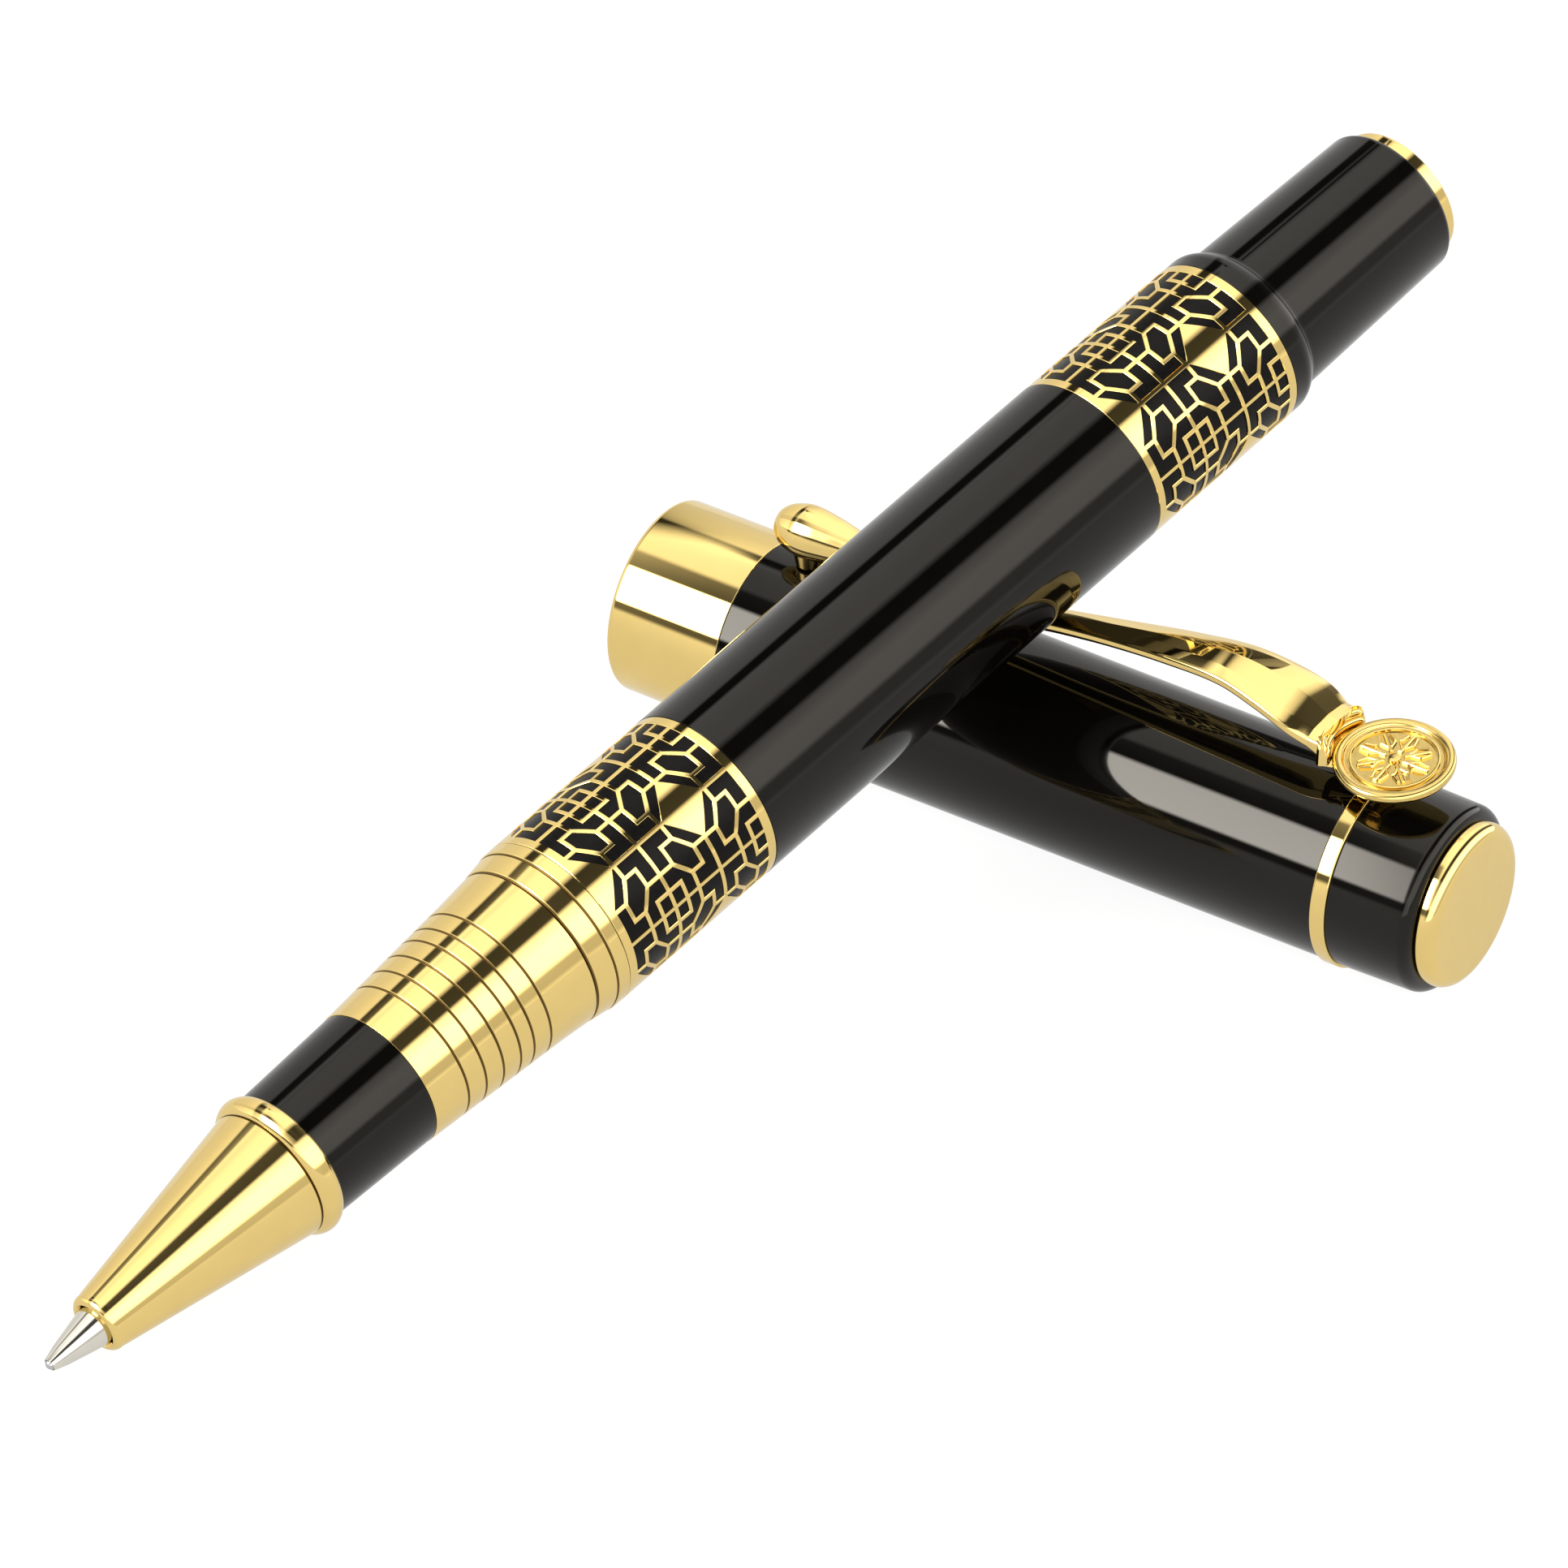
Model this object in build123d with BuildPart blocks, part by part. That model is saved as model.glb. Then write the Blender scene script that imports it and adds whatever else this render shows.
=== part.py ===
"""Rollerball pen with its cap off: the cap lies on the table, clip up, and the pen leans across it."""

from build123d import *
from math import cos, pi, radians, sin, tan
import os

os.makedirs("parts", exist_ok=True)

# ---- driving dimensions, mm ------------------------------------------------
# Frame: +Z up, table at z = 0, origin under the middle of the whole set.
# The cap's axis is along +X, mouth first. The pen rises from its tip towards +Y.
cap_mouth_x = -29.90
cap_axis_y = 23.498
pen_heading = 80.185  # degrees from +X towards +Y
pen_rise = 14.186  # degrees above the table
pen_tip_x = cap_mouth_x + 12.139
pen_tip_y = cap_axis_y - 82.123
pen_tip_z = 0.956  # at this the nose cone's lip rests on the table

# cap, stations along its axis from the mouth
cap_radius = 6.35
cap_rear_radius = 6.19
cap_bore = 5.75
cap_seat = 5.92  # inner radius behind the bore, where the liner and the bush sit
liner_start = 8.2
cap_spigot_radius = 6.05
cap_spigot_start = 4.0
mouth_ring_length = 8.06
clip_ring_start = 51.70
clip_ring_end = 52.75
crown_end = 58.50
crown_face = 59.80
disc_radius = 5.33
liner_bore = 5.05
stud_radius = 1.5

# clip, heights above the cap's axis
pivot_x = 52.22
pivot_height = 6.95
pivot_radius = 0.35
pivot_clearance = 0.03
medallion_x = 53.40
medallion_height = 8.70  # top of the disc
medallion_radius = 3.80
medallion_lean = 8.0  # degrees, turned about the cap's axis

# pen, stations along its axis; the ball's front stands a little before station 0
barrel_radius = 6.0
ball_front = -0.45
ball_radius = 0.35
ball_clearance = 0.02
bead_end = 20.01
sleeve_end = 27.89
grip_end = 41.02
section_end = 43.55
front_band_start = 43.60
band_length = 13.0
rear_band_start = 91.85
shoulder_start = rear_band_start + band_length
tail_start = 107.20
tail_end = 120.90
core_radius = 3.75
refill_radius = 3.05
refill_bore = 2.70
refill_end = 109.20
thread_radius = 4.60
thread_pitch = 0.75
insert_bore = 4.65
liner_outer = 5.35
spigot_radius = 4.95
infill_radius = 5.82
filigree_radius = 5.98
grip_groove_stations = (30.53, 31.97, 33.39, 34.79, 35.89, 37.27)
grip_groove_depth = 0.12
grip_groove_width = 0.24

# filigree lattice: centre lines of one quarter of a repeat, (around, along)
repeats_around = 4
half_rows = 3
row = 4.0
lattice_line = 0.29
half_repeat = pi * filigree_radius / repeats_around
lattice_offset = 0.46  # from the band's front edge to the first row line
lattice_turns = {"front": 34.6, "rear": 32.8}  # degrees from the pen's top to a solid diamond
knot_u = 1.17
knot_v = 1.05
eye_u = 2.40
eye_v = 2.08
elbow_u = 3.66
elbow_v = 1.12
heel_v = 3.00
diamond_u = 2.60
diamond_v = 2.385

# ---- planes and axes -------------------------------------------------------
heading = radians(pen_heading)
rise = radians(pen_rise)
pen_direction = Vector(cos(rise) * cos(heading), cos(rise) * sin(heading), sin(rise))
pen_tip = Vector(pen_tip_x, pen_tip_y, pen_tip_z)
pen_top = Vector(-sin(rise) * cos(heading), -sin(rise) * sin(heading), cos(rise))
pen_line = Axis(pen_tip, pen_direction)
pen_side = Plane(origin=pen_tip, x_dir=pen_direction, z_dir=pen_direction.cross(pen_top))

cap_origin = Vector(cap_mouth_x, cap_axis_y, cap_radius)
cap_line = Axis(cap_origin, (1, 0, 0))
cap_side = Plane(origin=cap_origin, x_dir=(1, 0, 0), z_dir=(0, -1, 0))


def turn(side, line, outline):
    """Revolve a closed outline of (along, radius) points into the current part."""
    with BuildSketch(side) as profile:
        with BuildLine():
            Polyline(*outline, close=True)
        make_face()
    revolve(profile.sketch, axis=line)


def ring(side, line, start, end, inner, outer):
    """Revolve a plain tube into the current part."""
    turn(side, line, [(start, inner), (end, inner), (end, outer), (start, outer)])


def save(piece, name):
    """Label a finished piece and write its STEP file."""
    piece.part.label = name
    export_step(piece.part, f"parts/{name}.step")


# ---- cap -------------------------------------------------------------------
with BuildPart() as cap_mouth_ring:
    lip = 0.40
    with BuildSketch(cap_side) as profile:
        with BuildLine():
            Line((lip, cap_radius), (mouth_ring_length, cap_radius))
            Line((mouth_ring_length, cap_radius), (mouth_ring_length, cap_spigot_radius))
            Line((mouth_ring_length, cap_spigot_radius), (cap_spigot_start, cap_spigot_radius))
            Line((cap_spigot_start, cap_spigot_radius), (cap_spigot_start, cap_bore))
            Line((cap_spigot_start, cap_bore), (0.15, cap_bore))
            Line((0.15, cap_bore), (0, cap_bore + 0.15))
            Line((0, cap_bore + 0.15), (0, cap_radius - lip))
            RadiusArc((0, cap_radius - lip), (lip, cap_radius), lip)
        make_face()
    revolve(profile.sketch, axis=cap_line)
save(cap_mouth_ring, "cap_mouth_ring")

with BuildPart() as cap_tube:
    tube_outline = [
        (cap_spigot_start, cap_bore),
        (liner_start, cap_bore),
        (liner_start, cap_seat),
        (clip_ring_start, cap_seat),
        (clip_ring_start, cap_rear_radius),
        (mouth_ring_length, cap_radius - 0.02),
        (mouth_ring_length, cap_spigot_radius),
        (cap_spigot_start, cap_spigot_radius),
    ]
    turn(cap_side, cap_line, tube_outline)
save(cap_tube, "cap_tube")

with BuildPart() as cap_liner:
    liner_end = 47.9
    liner_floor = 1.4
    liner_outline = [
        (liner_start, cap_seat),
        (liner_start, cap_bore - 0.1),
        (liner_start + 1.8, liner_bore),
        (liner_start + 3.0, liner_bore - 0.1),
        (liner_start + 4.2, liner_bore),
        (liner_end - liner_floor, liner_bore),
        (liner_end - liner_floor, 0),
        (liner_end, 0),
        (liner_end, cap_seat),
    ]
    turn(cap_side, cap_line, liner_outline)
save(cap_liner, "cap_liner")

# The clip band carries two ears, one each side of the clip's foot.
ear_gap = 2.10
ear_thickness = 0.50
ear_radius = 0.60
with BuildPart() as clip_ring:
    ring(cap_side, cap_line, clip_ring_start, clip_ring_end, cap_seat, cap_radius)
    for ear_side in (-1, 1):
        ear_inner = ear_side * ear_gap / 2
        with BuildSketch(cap_side.offset(ear_inner)) as ear:
            with Locations((pivot_x, pivot_height)):
                Circle(ear_radius)
            with Locations((pivot_x, pivot_height - 0.45)):
                Rectangle(0.9, 0.9)
        extrude(ear.sketch, amount=ear_side * ear_thickness)
    with BuildSketch(cap_side) as pin_hole:
        with Locations((pivot_x, pivot_height)):
            Circle(pivot_radius)
    extrude(pin_hole.sketch, amount=ear_gap, both=True, mode=Mode.SUBTRACT)
save(clip_ring, "clip_ring")

with BuildPart() as clip_pin:
    with BuildSketch(cap_side) as pin_face:
        with Locations((pivot_x, pivot_height)):
            Circle(pivot_radius)
    extrude(pin_face.sketch, amount=ear_gap / 2 + ear_thickness, both=True)
save(clip_pin, "clip_pin")

bush_start = 48.0
bush_end = 56.5
crown_bore = 5.40
with BuildPart() as crown_bush:
    bush_outline = [
        (bush_start, stud_radius),
        (bush_end, stud_radius),
        (bush_end, crown_bore),
        (clip_ring_end, crown_bore),
        (clip_ring_end, cap_seat),
        (bush_start, cap_seat),
    ]
    turn(cap_side, cap_line, bush_outline)
save(crown_bush, "crown_bush")

with BuildPart() as cap_crown:
    crown_round = 0.85
    crown_edge = 6.10
    with BuildSketch(cap_side) as profile:
        with BuildLine():
            Line((clip_ring_end, crown_bore), (clip_ring_end, cap_rear_radius))
            Line((clip_ring_end, cap_rear_radius), (crown_end - crown_round, crown_edge))
            RadiusArc(
                (crown_end - crown_round, crown_edge), (crown_end, crown_edge - crown_round), crown_round
            )
            Line((crown_end, crown_edge - crown_round), (crown_end, stud_radius))
            Line((crown_end, stud_radius), (bush_end, stud_radius))
            Line((bush_end, stud_radius), (bush_end, crown_bore))
            Line((bush_end, crown_bore), (clip_ring_end, crown_bore))
        make_face()
    revolve(profile.sketch, axis=cap_line)
save(cap_crown, "cap_crown")

stud_end = crown_face - 0.5
with BuildPart() as crown_disc:
    disc_round = 0.85
    disc_base = disc_radius - 0.15
    with BuildSketch(cap_side) as profile:
        with BuildLine():
            Line((crown_end, stud_radius), (crown_end, disc_base))
            Line((crown_end, disc_base), (crown_face - disc_round - 0.3, disc_radius))
            Line((crown_face - disc_round - 0.3, disc_radius), (crown_face - disc_round, disc_radius))
            RadiusArc(
                (crown_face - disc_round, disc_radius), (crown_face, disc_radius - disc_round), disc_round
            )
            Line((crown_face, disc_radius - disc_round), (crown_face, 0))
            Line((crown_face, 0), (stud_end, 0))
            Line((stud_end, 0), (stud_end, stud_radius))
            Line((stud_end, stud_radius), (crown_end, stud_radius))
        make_face()
    revolve(profile.sketch, axis=cap_line)
save(crown_disc, "crown_disc")

with BuildPart() as crown_screw:
    ring(cap_side, cap_line, bush_start + 0.5, stud_end, 0, stud_radius)
save(crown_screw, "crown_screw")

# ---- clip ------------------------------------------------------------------
# Sections of the arm: (station, half width, underside, edge, crest, crest half width).
arm_sections = (
    (14.0, 1.05, 7.95, 9.00, 9.55, 0.50),
    (18.0, 0.93, 7.95, 8.85, 9.17, 0.25),
    (22.0, 0.88, 7.95, 8.80, 9.02, 0.20),
    (26.0, 0.93, 8.15, 9.00, 9.19, 0.20),
    (30.0, 1.09, 8.85, 9.72, 9.95, 0.20),
    (33.5, 1.33, 9.40, 10.30, 10.58, 0.22),
    (38.0, 1.80, 10.00, 10.93, 11.28, 0.80),
    (42.0, 2.25, 10.30, 11.22, 11.62, 1.30),
    (45.0, 2.65, 9.80, 10.75, 11.18, 1.75),
    (47.3, 2.80, 9.05, 10.05, 10.47, 1.90),
    (48.6, 2.45, 8.35, 9.45, 9.85, 1.60),
)
bulb_height = 8.80
bulb_outline = ((8.50, 0), (9.35, 1.38), (10.70, 1.72), (12.60, 1.50), (14.40, 1.16), (17.50, 0.70))
foot_station = 10.90
foot_radius = 0.80

with BuildPart() as clip_arm:
    for station, half_width, underside, edge, crest, crest_half in arm_sections:
        cut = Plane(
            origin=cap_origin + Vector(station, 0, 0), x_dir=(0, 1, 0), z_dir=(1, 0, 0)
        )
        with BuildSketch(cut):
            Polygon(
                (-half_width, underside),
                (half_width, underside),
                (half_width, edge),
                (crest_half, crest),
                (-crest_half, crest),
                (-half_width, edge),
                align=None,
            )
    loft(ruled=True)
    # the bulb at the free end, a drop turned about its own line
    bulb_front = bulb_outline[0][0]
    bulb_rear, bulb_rear_radius = bulb_outline[-1]
    bulb_line = Axis(cap_origin + Vector(bulb_front, 0, bulb_height), (1, 0, 0))
    with BuildSketch(cap_side) as profile:
        with BuildLine():
            Spline(
                *[(station, bulb_height + radius) for station, radius in bulb_outline],
                tangents=[(0, 1), (1, -0.12)],
            )
            Line((bulb_rear, bulb_height + bulb_rear_radius), (bulb_rear, bulb_height))
            Line((bulb_rear, bulb_height), (bulb_front, bulb_height))
        make_face()
    revolve(profile.sketch, axis=bulb_line)
    # the small foot under the bulb, which bears on the cap
    foot_plane = Plane(origin=cap_origin + Vector(foot_station, 0, cap_radius + 0.06))
    with BuildSketch(foot_plane) as foot:
        Circle(foot_radius)
    extrude(foot.sketch, amount=1.6, taper=-14)
save(clip_arm, "clip_arm")

# The neck: the arm's root, a beaded collar that wraps the medallion's near side, and a foot that
# goes down between the ears.
collar_inner = medallion_radius + 0.12
collar_outer = 4.78
collar_groove = 4.33
collar_groove_half = 0.05
collar_half_angle = 34.0  # degrees each side of the arm's line
collar_underside = 7.90
collar_top = 9.95
neck_sections = (
    (48.6, 2.45, 8.25, 9.45, 9.75, 1.65),
    (49.35, 2.45, 7.80, 9.40, 9.70, 1.65),
    (49.5, 1.90, 7.30, 7.62, 7.66, 1.40),
    (51.4, 1.00, 7.10, 7.50, 7.55, 0.80),
)
with BuildPart() as clip_neck:
    for station, half_width, underside, edge, crest, crest_half in neck_sections:
        cut = Plane(
            origin=cap_origin + Vector(station, 0, 0), x_dir=(0, 1, 0), z_dir=(1, 0, 0)
        )
        with BuildSketch(cut):
            Polygon(
                (-half_width, underside),
                (half_width, underside),
                (half_width, edge),
                (crest_half, crest),
                (-crest_half, crest),
                (-half_width, edge),
                align=None,
            )
    loft(ruled=True)
    collar_plane = Plane(origin=cap_origin + Vector(medallion_x, 0, collar_underside))
    collar_reach = 6.0
    collar_spread = collar_reach * tan(radians(collar_half_angle))
    with BuildSketch(collar_plane) as collar:
        Circle(collar_outer)
        Circle(collar_inner, mode=Mode.SUBTRACT)
        Polygon(
            (0, 0), (-collar_reach, collar_spread), (-collar_reach, -collar_spread),
            align=None, mode=Mode.INTERSECT,
        )
    extrude(collar.sketch, amount=collar_top - collar_underside)
    with BuildSketch(collar_plane.offset(collar_top - collar_underside)) as bead_gap:
        Circle(collar_groove + collar_groove_half)
        Circle(collar_groove - collar_groove_half, mode=Mode.SUBTRACT)
    extrude(bead_gap.sketch, amount=-0.15, mode=Mode.SUBTRACT)
    with BuildSketch(cap_side) as foot:
        with Locations((pivot_x, pivot_height)):
            Circle(0.55)
        with Locations((51.6, pivot_height + 0.28)):
            Rectangle(1.2, 0.54)
    extrude(foot.sketch, amount=1.0, both=True)
    with BuildSketch(cap_side) as pin_bore:
        with Locations((pivot_x, pivot_height)):
            Circle(pivot_radius + pivot_clearance)
    extrude(pin_bore.sketch, amount=1.5, both=True, mode=Mode.SUBTRACT)
save(clip_neck, "clip_neck")

disc_normal = Vector(0, -sin(radians(medallion_lean)), cos(radians(medallion_lean)))
disc_centre = cap_origin + Vector(medallion_x, 0, medallion_height)
disc_plane = Plane(origin=disc_centre, x_dir=(1, 0, 0), z_dir=disc_normal)
with BuildPart() as clip_medallion:
    disc_thickness = 0.70
    rim_width = 0.65
    relief = 0.22
    with BuildSketch(disc_plane.offset(-disc_thickness)) as blank:
        Circle(medallion_radius)
    extrude(blank.sketch, amount=disc_thickness)
    fillet(clip_medallion.edges().group_by(Axis(disc_centre, disc_normal))[-1], radius=0.25)
    with BuildSketch(disc_plane) as field:
        Circle(medallion_radius - rim_width)
        Circle(medallion_radius - rim_width - 0.30, mode=Mode.SUBTRACT)
        with PolarLocations(1.15, 8):
            Rectangle(1.5, 0.34, mode=Mode.ADD)
    extrude(field.sketch, amount=-relief, mode=Mode.SUBTRACT)
    # a boss under the disc seats it on the neck
    with BuildSketch(disc_plane.offset(-disc_thickness)) as boss:
        with Locations((-2.6, 0)):
            Circle(0.70)
    extrude(boss.sketch, amount=-0.38)
save(clip_medallion, "clip_medallion")

# ---- section ---------------------------------------------------------------
tip_bore = 1.35
with BuildPart() as nose_cone:
    cone_end = 18.30
    bead_start = 18.42
    with BuildSketch(pen_side) as profile:
        with BuildLine():
            Line((3.75, tip_bore), (3.50, tip_bore + 0.20))
            RadiusArc((3.50, tip_bore + 0.20), (4.05, 1.97), 0.48)
            Line((4.05, 1.97), (cone_end, 4.38))
            Line((cone_end, 4.38), (bead_start, 4.28))
            ThreePointArc((bead_start, 4.28), (19.20, 4.80), (bead_end, 4.54))
            Line((bead_end, 4.54), (bead_end, core_radius))
            Line((bead_end, core_radius), (17.2, core_radius))
            Line((17.2, core_radius), (17.2, refill_radius + 0.15))
            Line((17.2, refill_radius + 0.15), (15.2, refill_radius + 0.15))
            Line((15.2, refill_radius + 0.15), (14.2, 2.10))
            Line((14.2, 2.10), (8.6, 2.10))
            Line((8.6, 2.10), (8.0, tip_bore))
            Line((8.0, tip_bore), (3.75, tip_bore))
        make_face()
    revolve(profile.sketch, axis=pen_line)
save(nose_cone, "nose_cone")

with BuildPart() as grip_sleeve:
    sleeve_outline = [
        (bead_end, core_radius),
        (sleeve_end, core_radius),
        (sleeve_end, 4.72),
        (bead_end, 4.46),
    ]
    turn(pen_side, pen_line, sleeve_outline)
save(grip_sleeve, "grip_sleeve")

grip_front = 4.75
grip_slope = 0.0640
with BuildPart() as grip_cone:
    grip_outline = [
        (sleeve_end, core_radius),
        (sleeve_end, grip_front),
        (38.6, grip_front + grip_slope * (38.6 - sleeve_end)),
        (grip_end - 0.12, 5.64),
        (grip_end, 5.52),
        (grip_end, core_radius),
    ]
    turn(pen_side, pen_line, grip_outline)
    for station in grip_groove_stations:
        surface = grip_front + grip_slope * (station - sleeve_end)
        with BuildSketch(pen_side) as groove:
            with BuildLine():
                Polyline(
                    (station - grip_groove_width / 2, surface + 0.05),
                    (station, surface - grip_groove_depth),
                    (station + grip_groove_width / 2, surface + 0.05),
                    close=True,
                )
            make_face()
        revolve(groove.sketch, axis=pen_line, mode=Mode.SUBTRACT)
save(grip_cone, "grip_cone")

with BuildPart() as section_collar:
    collar_step = 42.60
    collar_outline = [
        (grip_end, thread_radius),
        (grip_end, 5.50),
        (grip_end + 0.18, 5.70),
        (collar_step - 0.12, 5.88),
        (collar_step, 5.80),
        (collar_step + 0.10, 5.95),
        (section_end, 5.98),
        (section_end, thread_radius),
    ]
    turn(pen_side, pen_line, collar_outline)
save(section_collar, "section_collar")

with BuildPart() as section_core:
    core_start = 17.2
    core_end = 51.5
    core_bore = 3.20
    core_outline = [
        (core_start, core_bore),
        (core_end, core_bore),
        (core_end, thread_radius),
        (grip_end, thread_radius),
        (grip_end, core_radius),
        (core_start, core_radius),
    ]
    turn(pen_side, pen_line, core_outline)
    thread_turns = 9
    for turn_number in range(thread_turns):
        station = section_end + 0.9 + turn_number * thread_pitch
        with BuildSketch(pen_side) as groove:
            with BuildLine():
                Polyline(
                    (station - 0.28, thread_radius + 0.02),
                    (station, thread_radius - 0.35),
                    (station + 0.28, thread_radius + 0.02),
                    close=True,
                )
            make_face()
        revolve(groove.sketch, axis=pen_line, mode=Mode.SUBTRACT)
save(section_core, "section_core")

# ---- refill ----------------------------------------------------------------
with BuildPart() as refill_ball:
    with BuildSketch(pen_side) as profile:
        with BuildLine():
            ThreePointArc(
                (ball_front, 0), (ball_front + ball_radius, ball_radius), (ball_front + 2 * ball_radius, 0)
            )
            Line((ball_front + 2 * ball_radius, 0), (ball_front, 0))
        make_face()
    revolve(profile.sketch, axis=pen_line)
save(refill_ball, "refill_ball")

with BuildPart() as writing_tip:
    socket = ball_radius + ball_clearance
    socket_end = ball_front + 2 * ball_radius + 0.05
    channel = 0.22
    tip_rear = 9.5
    tip_radius = 1.28
    tip_outline = [
        (ball_front + 0.22, socket - 0.01),
        (ball_front + 0.32, socket),
        (socket_end, socket),
        (socket_end + 0.15, channel),
        (tip_rear, channel),
        (tip_rear, tip_radius),
        (3.30, tip_radius),
        (0.75, 0.72),
        (ball_front + 0.22, 0.43),
    ]
    turn(pen_side, pen_line, tip_outline)
save(writing_tip, "writing_tip")

plug_start = 16.4
plug_end = 20.2
wick_radius = 0.40
with BuildPart() as tip_holder:
    holder_outline = [
        (8.85, tip_radius),
        (tip_rear, tip_radius),
        (tip_rear, wick_radius),
        (plug_end, wick_radius),
        (plug_end, refill_bore),
        (plug_start, refill_bore),
        (plug_start, refill_radius),
        (15.7, refill_radius - 0.15),
        (14.8, 1.90),
        (9.1, 1.90),
        (8.85, 1.65),
    ]
    turn(pen_side, pen_line, holder_outline)
save(tip_holder, "tip_holder")

with BuildPart() as ink_wick:
    ring(pen_side, pen_line, tip_rear, plug_end, 0, wick_radius)
save(ink_wick, "ink_wick")

refill_plug_start = 105.0
with BuildPart() as ink_reservoir:
    ring(pen_side, pen_line, plug_end, refill_plug_start - 1.0, 0, refill_bore)
save(ink_reservoir, "ink_reservoir")

tube_end = 108.0
with BuildPart() as refill_tube:
    ring(pen_side, pen_line, plug_start, tube_end, refill_bore, refill_radius)
save(refill_tube, "refill_tube")

with BuildPart() as refill_plug:
    plug_outline = [
        (refill_plug_start, 0),
        (refill_plug_start, refill_bore),
        (tube_end, refill_bore),
        (tube_end, refill_radius),
        (refill_end - 0.3, refill_radius),
        (refill_end, refill_radius - 0.3),
        (refill_end, 0),
    ]
    turn(pen_side, pen_line, plug_outline)
save(refill_plug, "refill_plug")

# ---- spring behind the refill ----------------------------------------------
spring_front = 109.80
spring_rear = 115.55
spring_wire = 0.22
spring_radius = 2.45
spring_pitch = 1.15
coil_start = spring_front + spring_wire
coil_length = spring_rear - spring_front - 2 * spring_wire
with BuildPart() as tail_spring:
    with BuildLine() as coil:
        Helix(
            spring_pitch,
            coil_length,
            spring_radius,
            center=pen_tip + pen_direction * coil_start,
            direction=pen_direction,
        )
    with BuildSketch(Plane(coil.line @ 0, z_dir=coil.line % 0)) as wire:
        Circle(spring_wire)
    sweep(wire.sketch, path=coil.line)
save(tail_spring, "tail_spring")

# ---- barrel ----------------------------------------------------------------
barrel_start = 43.60
insert_end = 53.2
with BuildPart() as thread_insert:
    ring(pen_side, pen_line, barrel_start, insert_end, insert_bore, spigot_radius)
save(thread_insert, "thread_insert")

with BuildPart() as barrel_liner:
    ring(pen_side, pen_line, barrel_start, shoulder_start, spigot_radius, liner_outer)
save(barrel_liner, "barrel_liner")

with BuildPart() as barrel_shell:
    ring(pen_side, pen_line, front_band_start + band_length, rear_band_start, liner_outer, barrel_radius)
save(barrel_shell, "barrel_shell")


def quarter_windows():
    """Centre-line outlines of the six windows in one quarter of a lattice repeat."""
    square = [(0, 0), (knot_u, 0), (knot_u, knot_v), (0, knot_v)]
    eye = [
        (knot_u, 0),
        (eye_u, 0),
        (eye_u, elbow_v),
        (knot_u, eye_v),
        (0, eye_v),
        (0, knot_v),
        (knot_u, knot_v),
    ]
    upper_elbow = [
        (eye_u, 0),
        (half_repeat, 0),
        (half_repeat, eye_v),
        (elbow_u, eye_v),
        (elbow_u, elbow_v),
        (eye_u, elbow_v),
    ]
    leaf = [
        (eye_u, elbow_v),
        (elbow_u, elbow_v),
        (elbow_u, eye_v),
        (eye_u, heel_v),
        (knot_u, heel_v),
        (knot_u, eye_v),
    ]
    lower_elbow = [
        (0, eye_v),
        (knot_u, eye_v),
        (knot_u, heel_v),
        (eye_u, heel_v),
        (eye_u, row),
        (0, row),
    ]
    slant = [
        (eye_u, heel_v),
        (elbow_u, eye_v),
        (half_repeat, eye_v),
        (half_repeat, diamond_v),
        (diamond_u, row),
        (eye_u, row),
    ]
    return square, eye, upper_elbow, leaf, lower_elbow, slant


def window_cutter(outline, flip_around, flip_along):
    """A prism for one window, mirrored as asked, with its middle at the origin."""
    middle_u = sum(u for u, v in outline) / len(outline)
    middle_v = sum(v for u, v in outline) / len(outline)
    points = [(flip_around * (u - middle_u), flip_along * (v - middle_v)) for u, v in outline]
    with BuildPart() as cutter:
        with BuildSketch():
            Polygon(*points, align=None)
            offset(amount=-lattice_line / 2, kind=Kind.INTERSECTION, mode=Mode.REPLACE)
        extrude(amount=0.6, both=True)
    return cutter.part, flip_around * middle_u, flip_along * middle_v, flip_along > 0


def surface_location(start, turn_from_top, around, along):
    """The place on the band's surface, outward and tail-ward, of a lattice point."""
    angle = radians(turn_from_top) + (around - half_repeat) / filigree_radius
    outward = pen_top * cos(angle) + pen_direction.cross(pen_top) * sin(angle)
    origin = pen_tip + pen_direction * (start + along) + outward * filigree_radius
    return Plane(origin=origin, x_dir=pen_direction.cross(outward), z_dir=outward).location


def window_places(start, turn_from_top, middle_u, middle_v, towards_tail):
    """Everywhere that one mirrored window stands on a band.

    Rows alternate: diamonds on row lines 0 and 2, knots on row lines 1 and 3, and each
    window hangs from its knot line, towards the tail or away from it.
    """
    knot_lines = [line for line in (1, 3) if (line + 1 if towards_tail else line) <= half_rows]
    return [
        surface_location(
            start,
            turn_from_top,
            repeat * 2 * half_repeat + middle_u,
            lattice_offset + line * row + middle_v,
        )
        for repeat in range(repeats_around)
        for line in knot_lines
    ]


cutters = [
    window_cutter(outline, flip_around, flip_along)
    for outline in quarter_windows()
    for flip_around in (-1, 1)
    for flip_along in (-1, 1)
]
for band, start in (("front", front_band_start), ("rear", rear_band_start)):
    with BuildPart() as infill:
        ring(pen_side, pen_line, start, start + band_length, liner_outer, infill_radius)
    save(infill, f"{band}_infill")

    with BuildPart() as filigree:
        ring(pen_side, pen_line, start, start + band_length, infill_radius, filigree_radius)
        for cutter, middle_u, middle_v, towards_tail in cutters:
            with Locations(*window_places(start, lattice_turns[band], middle_u, middle_v, towards_tail)):
                add(cutter, mode=Mode.SUBTRACT)
    save(filigree, f"{band}_filigree")

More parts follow.
